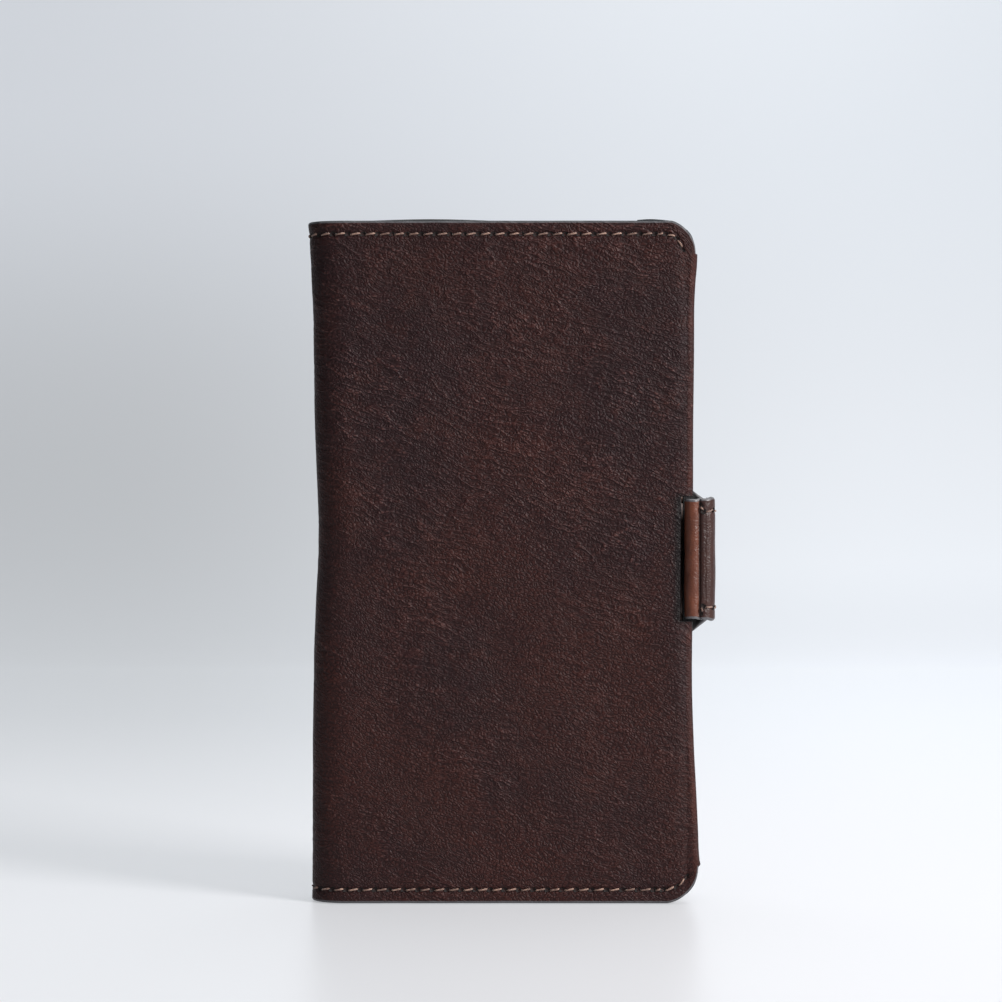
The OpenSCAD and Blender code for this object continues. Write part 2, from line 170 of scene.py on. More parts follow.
class Sheet:
    """A flat net of points (u, z) and faces, which a surface function then carries into space."""

    def __init__(self):
        self.points, self.faces, self.index = [], [], {}

    def point(self, u, z):
        key = (round(u, 5), round(z, 5))
        if key not in self.index:
            self.index[key] = len(self.points)
            self.points.append((u, z))
        return self.index[key]

    def grid(self, us, zs, holes=()):
        """Adds a grid of faces, leaving out the cells inside the (u0, u1, z0, z1) holes."""
        for i in range(len(us) - 1):
            for j in range(len(zs) - 1):
                cu, cz = (us[i] + us[i + 1]) / 2, (zs[j] + zs[j + 1]) / 2
                if any(h[0] < cu < h[1] and h[2] < cz < h[3] for h in holes):
                    continue
                corners = ((i, j), (i + 1, j), (i + 1, j + 1), (i, j + 1))
                self.faces.append([self.point(us[a], zs[b]) for a, b in corners])

    def hole(self, us, zs, hole, radius, rings, open_side=False):
        """Fills the rectangle between the lines us and zs, round a hole with round corners. With open_side
        the hole runs out through the last of us, so that side isn't filled."""
        u0, u1, z0, z1 = hole
        outer = [(u, zs[-1]) for u in us[::-1]] + [(us[0], z) for z in zs[-2:0:-1]] + [(u, zs[0]) for u in us]
        if not open_side:
            outer += [(us[-1], z) for z in zs[1:-1]]
        middle = np.array([(u0 + u1) / 2, (z0 + z1) / 2])
        half = np.array([(u1 - u0) / 2 - radius, (z1 - z0) / 2 - radius])
        inner = []
        for p in outer:
            d = np.array(p) - middle
            core = np.clip(d, -half, half)
            out = d - core
            inner.append(middle + core + out / max(np.linalg.norm(out), 1e-9) * radius)
        loops = []
        for k in range(rings + 1):
            t = 1 - (1 - k / rings) ** 1.6
            pairs = zip(outer, inner, strict=True)
            loops.append([self.point(*(np.array(o) * (1 - t) + i * t)) for o, i in pairs])
        n = len(outer)
        for a, b in zip(loops, loops[1:], strict=False):
            for i in range(n - 1 if open_side else n):
                self.faces.append([a[i], a[(i + 1) % n], b[(i + 1) % n], b[i]])


def normals_of(surface, u, z, step=0.04):
    """Outward unit normals of a surface function, by small steps."""
    du = surface(u + step, z) - surface(u - step, z)
    dz = surface(u, z + step) - surface(u, z - step)
    n = np.cross(du, dz)
    return n / np.maximum(np.linalg.norm(n, axis=1), 1e-12)[:, None]


def put_mesh(name, points, faces, materials, attributes=(), kinds=None):
    """Makes a mesh object from points in millimetres. Each attribute is (name, values for the points)."""
    mesh = bpy.data.meshes.new(name)
    mesh.from_pydata((np.asarray(points) * MM).tolist(), [], faces)
    for label, values in attributes:
        values = np.asarray(values, np.float32)
        kind = "FLOAT" if values.ndim == 1 else "FLOAT_VECTOR"
        layer = mesh.attributes.new(label, kind, "POINT")
        layer.data.foreach_set("value" if values.ndim == 1 else "vector", values.ravel())
    for m in materials:
        mesh.materials.append(m)
    if kinds is not None:
        mesh.polygons.foreach_set("material_index", np.asarray(kinds, np.int32))
    mesh.polygons.foreach_set("use_smooth", np.ones(len(mesh.polygons), bool))
    mesh.validate()
    obj = bpy.data.objects.new(name, mesh)
    bpy.context.scene.collection.objects.link(obj)
    return obj


def thicken(name, sheet, surface, thickness, materials, relief=None, edge_gap=None, round_r=0.6, hide=None,
            wear_and_light=None, flip=False):
    """Carries a net into space and gives it thickness, with round painted edges.
    thickness(u, z) and relief(u, z) are in millimetres. edge_gap(u, z) is the distance to the cut edge.
    flip is for a surface whose u and z run the other way round as seen from outside."""
    net = np.array(sheet.points)
    u, z = net[:, 0], net[:, 1]
    base, n = surface(u, z), normals_of(surface, u, z) * (-1 if flip else 1)
    t = thickness(u, z)
    lift = relief(u, z) if relief else np.zeros(len(u))
    gap = edge_gap(u, z) if edge_gap else np.full(len(u), 99.0)
    r = np.minimum(round_r, t * 0.46)
    dip = r - np.sqrt(np.maximum(r * r - (r - np.minimum(gap, r)) ** 2, 0))
    outer = base + n * (lift - dip)[:, None]
    inner = base - n * (t - dip)[:, None]
    count = len(net)
    faces = [list(reversed(f)) if flip else list(f) for f in sheet.faces]
    seen = {}
    for f in faces:
        for a, b in zip(f, f[1:] + f[:1], strict=True):
            seen[(a, b)] = True
    rim = [(a, b) for (a, b) in seen if (b, a) not in seen]
    all_faces = faces + [[i + count for i in reversed(f)] for f in faces]
    all_faces += [[b, a, a + count, b + count] for a, b in rim]
    points = np.vstack([outer, inner])
    paint = np.clip(1 - gap / 1.15, 0, 1)
    hide_at = hide(u, z) if hide else np.column_stack([u, z, np.zeros(count)])
    # The attribute below carries wear and painted light: lighter where wear or a painted highlight is, darker
    # as a painted shadow where it is below zero.
    wear_and_light_at = wear_and_light(u, z) if wear_and_light else np.zeros(count)
    attributes = [
        ("hide", np.vstack([hide_at, hide_at + [0, 0, 40.0]])),
        ("edge", np.concatenate([paint, paint])),
        ("wear_and_light", np.concatenate([wear_and_light_at, wear_and_light_at * 0])),
    ]
    return put_mesh(name, points, all_faces, materials, attributes)


# ---------- the cover's surface ----------

CROWN = 9.0
CROWN_POWER = 2.15
PLAN_BACK = 3.0


def plan_curve():
    """The outer face of the cover's front half seen from above, from the middle of the spine to the end of the
    turned-in flap, as closely spaced points with their running length and outward directions."""
    a = np.linspace(0, math.pi / 2, 90)
    spine = np.column_stack([np.full(40, X_LEFT), np.linspace(PLAN_BACK, FOLD[1], 40)])
    corner = np.column_stack([
        X_LEFT + CROWN * (1 - np.cos(a) ** (2 / CROWN_POWER)),
        FOLD[1] - SPINE_R * np.sin(a) ** (2 / CROWN_POWER),
    ])
    flat = np.column_stack([np.linspace(X_LEFT + CROWN, X_EDGE - FOLD_R, 200), np.full(200, -Y_FACE)])
    b = np.linspace(-math.pi / 2, math.pi / 2, 60)
    fold = np.column_stack([X_EDGE - FOLD_R + FOLD_R * np.cos(b), -Y_FACE + FOLD_R + FOLD_R * np.sin(b)])
    flap_x = np.linspace(X_EDGE - FOLD_R, X_EDGE - FLAP_W, 40)
    flap = np.column_stack([flap_x, np.full(40, -Y_FACE + COVER_T)])
    points = np.vstack([spine, corner[1:], flat[1:], fold[1:], flap[1:]])
    run = run_along(points) - PLAN_BACK
    travel = np.gradient(points, run, axis=0)
    travel /= np.linalg.norm(travel, axis=1)[:, None]
    return points, run, np.column_stack([travel[:, 1], -travel[:, 0]])


PLAN, RUN, PLAN_OUT = plan_curve()
U_FLAT = RUN[40 + 88]
U_FOLD = U_FLAT + X_EDGE - FOLD_R - (X_LEFT + CROWN)
U_FLAP = U_FOLD + math.pi * FOLD_R
U_END = RUN[-1]

# How far the spine and the opening edge stand off their straight lines, as (height, offset)
SPINE_SWAY = [
    (0, 0.0), (14, 0.0), (30, 0.1), (50, 0.25), (64, 0.6), (77, 1.15), (90, 1.5), (102, 1.15), (114, 0.75),
    (130, 0.5), (142, 0.3), (151, -0.1), (159, -0.55), (167, -1.1),
]
EDGE_SWAY = [
    (0, 1.95), (5, 1.7), (11, 1.5), (16, 1.4), (26, 1.0), (38, 0.4), (50, -0.05), (70, 0.0), (105, 0.2),
    (118, 0.25), (132, 0.42), (146, 0.5), (152, 0.75), (159, 1.15), (167, 1.25),
]
# The two cut corners at the opening edge: x where the arc starts, its radius, how much of it is cut off, and
# the slope of the straight last cut into the nib
TOP_CORNER = (36.4, 8.4, 0.3, 1.67)
BOTTOM_CORNER = (36.2, 9.2, 0.1, 4.5)
CORNER_SPAN = 22.0
# Where the front lining and flap stand above the outer face along the top edge, as (x, half width, height)
LINING_HILLS = ((-20.0, 30.0, 0.75), (33.5, 8.0, 0.55))


def corner_drop(x, corner):
    """How far a cut corner's arc has come away from the straight edge at x."""
    start, radius, cut, slope = corner
    d = np.maximum(x - start, 0)
    straight = radius * slope / math.hypot(1, slope)
    arc = radius - np.sqrt(radius**2 - np.minimum(d, straight) ** 2) - cut
    return np.maximum(arc + slope * np.maximum(d - straight, 0), 0)


def u_of_x(x):
    """The running length on the flat front for a distance across the cover."""
    return U_FLAT + x - (X_LEFT + CROWN)


def sway_at(x, z):
    """Sideways shift of the cover at a place on it."""
    near_spine = 1 - smooth((x - X_LEFT) / 16)
    near_edge = smooth((x - (X_EDGE - 30)) / 30)
    return curve(z, SPINE_SWAY) * near_spine + curve(z, EDGE_SWAY) * near_edge


def squeeze(x, z):
    """Height on the cover after its corners are cut: the last rows are drawn in under the arcs."""
    near_top = np.clip((z - (CASE_H - CORNER_SPAN)) / CORNER_SPAN, 0, 1) ** 1.3
    near_bottom = np.clip((CORNER_SPAN - z) / CORNER_SPAN, 0, 1) ** 1.3
    return z - corner_drop(x, TOP_CORNER) * near_top + corner_drop(x, BOTTOM_CORNER) * near_bottom


def cover_point(u, z, side, inset=0.0):
    """A point of the cover, inset from its outer face. side is -1 on the front half and 1 on the back."""
    u, z = np.broadcast_arrays(np.asarray(u, float), np.asarray(z, float))
    x = np.interp(u, RUN, PLAN[:, 0]) - np.interp(u, RUN, PLAN_OUT[:, 0]) * inset
    y = np.interp(u, RUN, PLAN[:, 1]) - np.interp(u, RUN, PLAN_OUT[:, 1]) * inset
    x = x + sway_at(x, z)
    height = squeeze(x, z)
    if side < 0:
        for middle, half, tall in LINING_HILLS:
            hill = tall * smooth(1 - np.abs(x - middle) / half) * smooth((z - CASE_H + 12) / 12)
            lined = smooth((np.asarray(inset) - OUTER_T + 0.1) / 0.1)
            inner = np.maximum(lined, smooth((u - U_FLAP + 0.5) / 2))
            height = height + hill * inner
    ends = smooth((26 - z) / 26) * 0.5 + smooth((z - CASE_H + 20) / 20) * 0.3
    flare = smooth((x - (X_EDGE - 18)) / 18) * ends
    sag = np.sin(math.pi * np.clip(z / CASE_H, 0, 1)) * smooth((x - X_LEFT) / 25) * smooth((X_EDGE - x) / 22)
    ease = 0.4 * np.clip((x - (X_EDGE - 4.6)) / 3.1, 0, 1) ** 2
    return np.column_stack([x, (y - flare * 0.5 + sag * 0.15 + ease) * (-side), height])


def cover_surface(side, inset=None):
    """The surface function of one half of the cover; inset(u) moves it inwards."""
    return lambda u, z: cover_point(u, z, side, inset(np.asarray(u, float)) if inset else 0.0)


def on_cover(x, z):
    """The net coordinates of a place on the front or back face, given where it should end up."""
    net_x, net_z = x, z
    for _ in range(12):
        net_x = x - float(sway_at(net_x, net_z))
        net_z = net_z + z - float(squeeze(x, net_z))
    return float(u_of_x(net_x)), float(net_z)


# Where each row starts to turn round its cut corner, the turn's radius, its length, and the pitch on it
TURNS = {1: (37.2, 4.2, 6.6, 3.08), -1: (36.5, 7.0, 7.05, 3.5)}


def stitch_row(up):
    """The top or bottom row as (u, z) net points where the thread goes through the leather."""
    holes = []
    row_z = CASE_H - SEAM_MARGIN if up > 0 else SEAM_MARGIN
    turn_x, turn_r, turn, pitch = TURNS[up]
    turn_u = u_of_x(turn_x)
    u = turn_u - math.floor((turn_u - STITCH_PITCH / 2) / STITCH_PITCH) * STITCH_PITCH
    while u < turn_u - 0.1:
        holes.append((u, row_z))
        u += STITCH_PITCH
    run = u - turn_u
    while run < turn:
        a = run / turn_r
        drop = up * turn_r * (1 - math.cos(a))
        holes.append(on_cover(turn_x + turn_r * math.sin(a), row_z - drop))
        run += pitch
    return holes


def row_distance(u, z):
    """Distance from the nearest stitch row, measured on the finished cover."""
    p = cover_point(u, z, -1)
    x, h = p[:, 0], p[:, 2]
    found = np.full(len(h), 99.0)
    for up, (turn_x, turn_r, turn, _) in TURNS.items():
        row_z = CASE_H - SEAM_MARGIN if up > 0 else SEAM_MARGIN
        straight = np.abs(h - row_z)
        arc = np.abs(np.hypot(x - turn_x, h - (row_z - up * turn_r)) - turn_r)
        turned = (x > turn_x) & (up * (h - (row_z - up * turn_r)) > 0)
        gone = smooth((x - turn_x - turn_r * math.sin(turn / turn_r)) / 2) * 9
        found = np.minimum(found, np.where(turned, arc + gone, straight + np.where(x > turn_x, 9, 0)))
    return found


ROWS = {up: stitch_row(up) for up in (-1, 1)}


def hide_waves(u, z, seed):
    """Slow waves and the larger growth wrinkles of one hide."""
    waves = 0.17 * noise(u / 21, z / 27, seed) + 0.07 * noise(u / 7.5, z / 9, seed + 1)
    along, across = u * 0.90 - z * 0.44, u * 0.44 + z * 0.90
    bend = 1.8 * noise(u / 11, z / 11, seed + 2)
    ridges = 1 - 2 * np.abs(noise(along / 8, (across + bend) / 2.3, seed + 3))
    where = smooth(0.5 + 0.9 * noise(u / 26, z / 30, seed + 4) + 0.4 * (z / CASE_H - 0.4))
    return waves + 0.06 * (ridges - 0.5) * where


def dimple(height, u, z, holes, depth, spread):
    """Pulls the leather in round each hole."""
    for hu, hz in holes:
        near = (np.abs(u - hu) < 2) & (np.abs(z - hz) < 2)
        height[near] -= depth * np.exp(-((u[near] - hu) ** 2 + (z[near] - hz) ** 2) / spread)


def cover_relief(u, z, side):
    """Height of the leather over its smooth surface: the seams' pull, slow waves and larger wrinkles."""
    past_fold = smooth((u - U_FOLD + 2) / 2)
    away = row_distance(u, z)
    channel = -0.22 * peak(away, 0.8) * (1 - past_fold)
    dimple(channel, u, z, ROWS[-1] + ROWS[1], 0.3, 0.3)
    # Both halves share one pattern near the middle of the spine, where their sheets meet
    own = smooth(u / 12)
    waves = hide_waves(u, z, 11)
    if side > 0:
        waves = own * hide_waves(u, z, 31) + (1 - own) * waves
    press = -0.12 * peak(z - 159.6, 0.35) * smooth((u - 14) / 2) * smooth((22.5 - u) / 3) * (side < 0)
    return channel + waves * (1 - 0.7 * past_fold) + press


# ---------- materials ----------

class Net:
    """Short calls for building a node tree."""

    def __init__(self, name):
        self.material = bpy.data.materials.new(name)
        self.material.use_nodes = True
        self.tree = self.material.node_tree
        self.bsdf = self.tree.nodes["Principled BSDF"]

    def node(self, kind, inputs=None, **settings):
        n = self.tree.nodes.new(kind)
        for key, value in settings.items():
            setattr(n, key, value)
        for key, value in (inputs or {}).items():
            self.feed(n.inputs[key], value)
        return n

    def feed(self, socket, value):
        if isinstance(value, bpy.types.NodeSocket):
            self.tree.links.new(value, socket)
        elif isinstance(value, (tuple, list)) and socket.type == "RGBA":
            socket.default_value = (*value[:3], 1)
        else:
            socket.default_value = value

    def attribute(self, name, part):
        return self.node("ShaderNodeAttribute", attribute_name=name).outputs[part]

    def place(self, vector, scale=(1, 1, 1), turn=0.0):
        return self.node("ShaderNodeMapping", {
            "Vector": vector, "Scale": tuple(1 / s for s in scale), "Rotation": (0, 0, math.radians(turn)),
        }, vector_type="TEXTURE").outputs[0]

    def noise(self, vector, scale, detail=3.0, rough=0.55, distortion=0.0):
        return self.node("ShaderNodeTexNoise", {
            "Vector": vector, "Scale": scale, "Detail": detail, "Roughness": rough, "Distortion": distortion,
        }).outputs["Fac"]

    def cells(self, vector, scale, feature="DISTANCE_TO_EDGE"):
        inputs = {"Vector": vector, "Scale": scale}
        return self.node("ShaderNodeTexVoronoi", inputs, feature=feature).outputs["Distance"]

    def math(self, operation, a, b=0.0, c=0.0):
        return self.node("ShaderNodeMath", {0: a, 1: b, 2: c}, operation=operation).outputs[0]

    def add(self, a, b):
        return self.node("ShaderNodeVectorMath", {0: a, 1: b}, operation="ADD").outputs[0]

    def ramp(self, value, low, high, to_low=0.0, to_high=1.0):
        return self.node("ShaderNodeMapRange", {
            "Value": value, "From Min": low, "From Max": high, "To Min": to_low, "To Max": to_high,
        }, interpolation_type="SMOOTHSTEP").outputs[0]

    def mix(self, factor, a, b, blend="MIX"):
        n = self.node("ShaderNodeMix", data_type="RGBA", blend_type=blend)
        self.feed(n.inputs[0], factor)
        self.feed(n.inputs[6], a)
        self.feed(n.inputs[7], b)
        return n.outputs[2]

    def bump(self, height, distance, strength=1.0, normal=None):
        inputs = {"Height": height, "Distance": distance * MM, "Strength": strength}
        if normal is not None:
            inputs["Normal"] = normal
        return self.node("ShaderNodeBump", inputs).outputs[0]

    def finish(self, colour, rough, normal=None, **values):
        self.feed(self.bsdf.inputs["Base Color"], colour)
        self.feed(self.bsdf.inputs["Roughness"], rough)
        if normal is not None:
            self.feed(self.bsdf.inputs["Normal"], normal)
        for key, value in values.items():
            self.bsdf.inputs[key.replace("_", " ")].default_value = value
        return self.material


# The middle of the oil-darkened cloud high on the front, in the leather's own millimetres
OILED_PLACE = (32.0, 118.0, 0.0)


def hide_leather(name, dark, brown, red, ridge_highlight, wrinkle=1.0, grain=1.0, edge=(0.016, 0.018, 0.021),
                 gloss=0.27, shine=0.19):
    """Oiled pull-up hide: dark clouds over red-brown, pebble grain, growth wrinkles, painted edges."""
    net = Net(name)
    at = net.attribute("hide", "Vector")
    spread = net.node("ShaderNodeTexNoise", {"Vector": at, "Scale": 0.055, "Detail": 3.0})
    sway = net.add(spread.outputs["Color"], (-0.5, -0.5, -0.5))
    shift = net.node("ShaderNodeVectorMath", {0: sway, "Scale": 5.0}, operation="SCALE").outputs[0]
    warped = net.add(at, shift)
    # Growth wrinkles: thin raised lines, most of them in the upper half
    height = net.node("ShaderNodeSeparateXYZ", {0: at}).outputs[1]
    long_noise = net.noise(net.place(warped, (0.11, 0.40, 0.3), turn=-15), 1.0, 2.0, 0.5)
    long_gap = net.math("ABSOLUTE", net.math("SUBTRACT", long_noise, 0.5))
    long_line = net.ramp(long_gap, 0.0, 0.045, 1.0, 0.0)
    short_noise = net.noise(net.place(warped, (0.42, 0.78, 0.6), turn=-12), 1.0, 3.0, 0.6)
    short_line = net.ramp(net.math("ABSOLUTE", net.math("SUBTRACT", short_noise, 0.5)), 0.0, 0.08, 1.0, 0.0)
    upper = net.math("MULTIPLY_ADD", net.ramp(height, 40.0, 125.0), 0.12, net.noise(at, 0.045, 2.0))
    where = net.ramp(upper, 0.38, 0.74)
    amount = net.math("MULTIPLY_ADD", where, 0.75 * wrinkle, 0.25 * wrinkle)
    long_line = net.math("MULTIPLY", long_line, amount)
    swell = net.math("MULTIPLY", net.ramp(long_gap, 0.0, 0.16, 1.0, 0.0), amount)
    # Grain: small pebbles, a little stretched the same way
    pebble = net.ramp(net.cells(net.place(warped, (1.02, 1.30, 1.0), turn=-13), 1.0), 0.0, 0.34)
    pores = net.noise(at, 3.2, 2.0)
    relief = net.math("MULTIPLY_ADD", short_line, 0.20 * grain, net.math("MULTIPLY", pebble, 0.32 * grain))
    relief = net.math("MULTIPLY_ADD", long_line, 0.34, relief)
    relief = net.math("MULTIPLY_ADD", pores, 0.10 * grain, relief)
    # Colour. The ramp on height darkens the clouds towards the top, which is painted shade.
    cloud = net.math("MULTIPLY_ADD", net.ramp(height, 30.0, 150.0), -0.11, net.noise(at, 0.028, 3.0, 0.5))
    apart = net.node("ShaderNodeVectorMath", {0: at, 1: OILED_PLACE}, operation="DISTANCE").outputs[1]
    cloud = net.math("MULTIPLY_ADD", net.ramp(apart, 6.0, 40.0, 1.0, 0.0), -0.09, cloud)
    spot = net.noise(at, 0.16, 3.0, 0.6)
    base = net.mix(net.ramp(cloud, 0.24, 0.60), dark, brown)
    base = net.mix(net.math("MULTIPLY", net.ramp(spot, 0.45, 0.75), 0.35), base, red)
    # Painted shade: the low places of the grain are darkened, as if in shadow beside the ridges.
    deep = net.math("MULTIPLY", net.ramp(relief, 0.08, 0.40, 1.0, 0.0), 0.65)
    base = net.mix(deep, base, (dark[0] * 0.45, dark[1] * 0.45, dark[2] * 0.45))
    # Painted highlight: the raised grain is mixed towards the lighter colour given for the ridges, in place of
    # the sheen they catch from the light.
    top = net.math("MULTIPLY", net.ramp(relief, 0.46, 0.88), 0.62)
    base = net.mix(top, base, ridge_highlight)
    # The lighter tone mixed in below is a painted highlight on the turned edge, and on the strap partly its
    # pull-up where it bends and partly a painted highlight.
    wear_and_light = net.attribute("wear_and_light", "Fac")
    pullup_and_highlight = tuple(min(1.0, c * 1.9 + d) for c, d in zip(red, (0.035, 0.008, 0.002), strict=True))
    patchy = net.math("MULTIPLY", net.ramp(wear_and_light, 0.0, 1.0), net.ramp(spot, 0.2, 0.7, 0.6, 1.0))
    base = net.mix(patchy, base, pullup_and_highlight)
    ragged = net.math("MULTIPLY", net.math("SUBTRACT", spot, 0.5), 0.25)
    paint = net.ramp(net.math("ADD", net.attribute("edge", "Fac"), ragged), 0.42, 0.58)
    # Painted highlight on the painted edges: light grey part way over the rounded edge, the edge colour only
    # at the outermost.
    crest = net.ramp(net.attribute("edge", "Fac"), 0.62, 0.95)
    base = net.mix(paint, base, net.mix(crest, (0.095, 0.092, 0.098), edge))
    # Painted shadow: where the attribute is below zero, beside the notch, the leather is darkened nearly to
    # black.
    base = net.mix(net.ramp(wear_and_light, -1.0, 0.0, 0.9, 0.0), base, (0.0035, 0.0025, 0.0030))
    rough = net.math("MULTIPLY_ADD", net.ramp(relief, 0.2, 0.8), -0.12, gloss + 0.22)
    rough = net.math("MULTIPLY_ADD", net.noise(at, 0.35, 2.0), 0.10, rough)
    rough = net.math("MULTIPLY_ADD", paint, -0.12, rough)
    relief = net.math("MULTIPLY", relief, net.math("SUBTRACT", 1.0, net.math("MULTIPLY", paint, 0.8)))
    slow = net.bump(net.noise(at, 0.22, 2.0), 0.6, 0.4)
    relief = net.math("MULTIPLY_ADD", swell, 0.40, relief)
    bump = net.bump(relief, 0.31, 1.0, slow)
    return net.finish(base, rough, bump, Specular_IOR_Level=shine)


def plain_leather(name, colour, deep, edge=(0.012, 0.011, 0.012), grain=0.7, gloss=0.5):
    """Smooth lining or pocket leather with a fine even grain."""
    net = Net(name)
    at = net.attribute("hide", "Vector")
    pebble = net.ramp(net.cells(at, 1.9), 0.0, 0.3)
    soft = net.noise(at, 1.6, 3.0)
    relief = net.math("MULTIPLY_ADD", soft, 0.5, net.math("MULTIPLY", pebble, 0.5 * grain))
    cloud = net.noise(at, 0.06, 4.0, 0.6)
    base = net.mix(net.ramp(cloud, 0.35, 0.65), deep, colour)
    # Painted shade: the grain's low places are darkened towards the deep colour.
    base = net.mix(net.math("MULTIPLY", net.ramp(relief, 0.2, 0.7, 1.0, 0.0), 0.4), base, deep)
    wear_and_light = net.attribute("wear_and_light", "Fac")
    base = net.mix(wear_and_light, base, tuple(min(1.0, c * 1.6) for c in colour))
    paint = net.ramp(net.attribute("edge", "Fac"), 0.25, 0.6)
    base = net.mix(paint, base, edge)
    rough = net.math("MULTIPLY_ADD", net.noise(at, 0.5, 2.0), 0.2, gloss)
    return net.finish(base, rough, net.bump(relief, 0.09, 0.7), Specular_IOR_Level=0.45)


def thread_material():
    """Waxed braided thread, its fibres running with the twist."""
    net = Net("thread")
    at = net.attribute("hide", "Vector")
    fibre = net.noise(net.place(at, (1.2, 9.0, 9.0)), 1.0, 3.0, 0.6)
    tint = net.noise(at, 0.35, 2.0)
    base = net.mix(net.ramp(fibre, 0.3, 0.7), (0.10, 0.050, 0.037), (0.42, 0.255, 0.190))
    base = net.mix(net.math("MULTIPLY", net.ramp(tint, 0.35, 0.65), 0.8), base, (0.085, 0.038, 0.025))
    rough = net.math("MULTIPLY_ADD", fibre, 0.2, 0.45)
    return net.finish(base, rough, net.bump(fibre, 0.05, 0.8), Sheen_Weight=0.25)


def hole_shade_material():
    """Painted shade for the inside of an awl hole: near black, dull leather fibre."""
    net = Net("awl_hole_shade")
    at = net.attribute("hide", "Vector")
    grain = net.noise(at, 4.0, 3.0)
    base = net.mix(grain, (0.004, 0.003, 0.003), (0.014, 0.009, 0.008))
    return net.finish(base, net.math("MULTIPLY_ADD", grain, 0.1, 0.85), net.bump(grain, 0.05, 0.6))


def solid_material(name, colour, deep, rough, scale=1500.0, metallic=0.0, streak=(1, 1, 1), depth=0.03):
    """A material for the CAD nodes that stay: fine mottled colour, roughness and bump in object space."""
    net = Net(name)
    at = net.place(net.node("ShaderNodeTexCoord").outputs["Object"], streak)
    fine = net.noise(at, scale, 3.0, 0.6)
    broad = net.noise(at, scale / 14, 3.0, 0.6)
    mottle = net.math("MULTIPLY_ADD", broad, 0.6, net.math("MULTIPLY", fine, 0.4))
    base = net.mix(net.ramp(mottle, 0.35, 0.65), deep, colour)
    value = net.math("MULTIPLY_ADD", fine, 0.18, rough - 0.09)
    return net.finish(base, value, net.bump(fine, depth, 0.8), Metallic=metallic)


# ---------- finishes ----------

OUTER = hide_leather(
    "outer_leather", dark=(0.0200, 0.0064, 0.0072), brown=(0.0345, 0.0090, 0.0072),
    red=(0.048, 0.0124, 0.0080), ridge_highlight=(0.104, 0.045, 0.039),
)
# The strap is the same hide in a lighter tone, partly its pull-up where it is bent and partly painted light;
# its light grey edge colour paints in the light that its cut edges catch.
STRAP = hide_leather(
    "strap_leather", dark=(0.026, 0.010, 0.009), brown=(0.066, 0.019, 0.012), red=(0.105, 0.032, 0.016),
    ridge_highlight=(0.12, 0.056, 0.042), wrinkle=0.25, grain=0.25, edge=(0.12, 0.115, 0.12), gloss=0.15, shine=0.34,
)
LINING = plain_leather("lining_leather", (0.060, 0.030, 0.021), (0.034, 0.017, 0.012))
POCKET = plain_leather("pocket_leather", (0.078, 0.038, 0.025), (0.046, 0.022, 0.015), grain=0.5)
BLACK = plain_leather("black_leather", (0.011, 0.010, 0.011), (0.006, 0.006, 0.006), gloss=0.62)
THREAD = thread_material()
HOLE_SHADE = hole_shade_material()


def wear_slot(obj, name):
    return obj


# ---------- outer leather ----------

NOTCH_X = X_EDGE - NOTCH_DEPTH
U_NOTCH = u_of_x(NOTCH_X)
U_NOTCH_FLAP = U_FLAP + X_EDGE - FOLD_R - NOTCH_X
NOTCH_LOW, NOTCH_HIGH = STRAP_Z - NOTCH_HALF, STRAP_Z + NOTCH_HALF
ROOT_HALF = STRAP_HALF + ROOT_FILLET
WINDOW = (window_low + window_high) / 2
WINDOW_W, WINDOW_H, WINDOW_R = 36.0, 38.0, 8.0
WINDOW_SEAM = 2.0
LEATHER_STEP = 0.56
EDGE_ROWS = 0.13
SEAM_ROWS = 0.26


def outline_gap(u, z):
    """Distance from the cut edge all round a cover, measured on the finished cover."""
    p = cover_point(u, z, -1)
    x, h = p[:, 0], p[:, 2]
    gap = np.minimum(CASE_H - h, h)
    for up, (start, radius, cut, *_) in ((1, TOP_CORNER), (-1, BOTTOM_CORNER)):
        middle = CASE_H + cut - radius if up > 0 else radius - cut
        past = (x > start) & (up * (h - middle) > 0)
        gap = np.where(past, np.minimum(gap, radius - np.hypot(x - start, h - middle)), gap)
    return np.minimum(np.maximum(gap, 0), U_END - u)


def rect_gap(u, z, low_u, high_u, low_z, high_z):
    """Distance from a rectangular cut."""
    du = np.maximum(np.maximum(low_u - u, u - high_u), 0)
    dz = np.maximum(np.maximum(low_z - z, z - high_z), 0)
    return np.hypot(du, dz)


def cover_rows(extra=()):
    margins = [(0, 0.8, EDGE_ROWS), (CASE_H - 0.8, CASE_H, EDGE_ROWS)]
    margins += [(SEAM_MARGIN - 1.1, SEAM_MARGIN + 1.1, SEAM_ROWS)]
    margins += [(CASE_H - SEAM_MARGIN - 1.1, CASE_H - SEAM_MARGIN + 1.1, SEAM_ROWS)]
    return margins + list(extra)


def fold_highlight(u, z):
    """A painted highlight along the turned edge, where the fold faces the light."""
    strip = smooth((u - U_FOLD + 0.35) / 0.5) * smooth((U_FOLD + 1.75 - u) / 0.45)
    return 0.3 * strip * (0.8 + 0.35 * noise(u / 3, z / 6, 71))


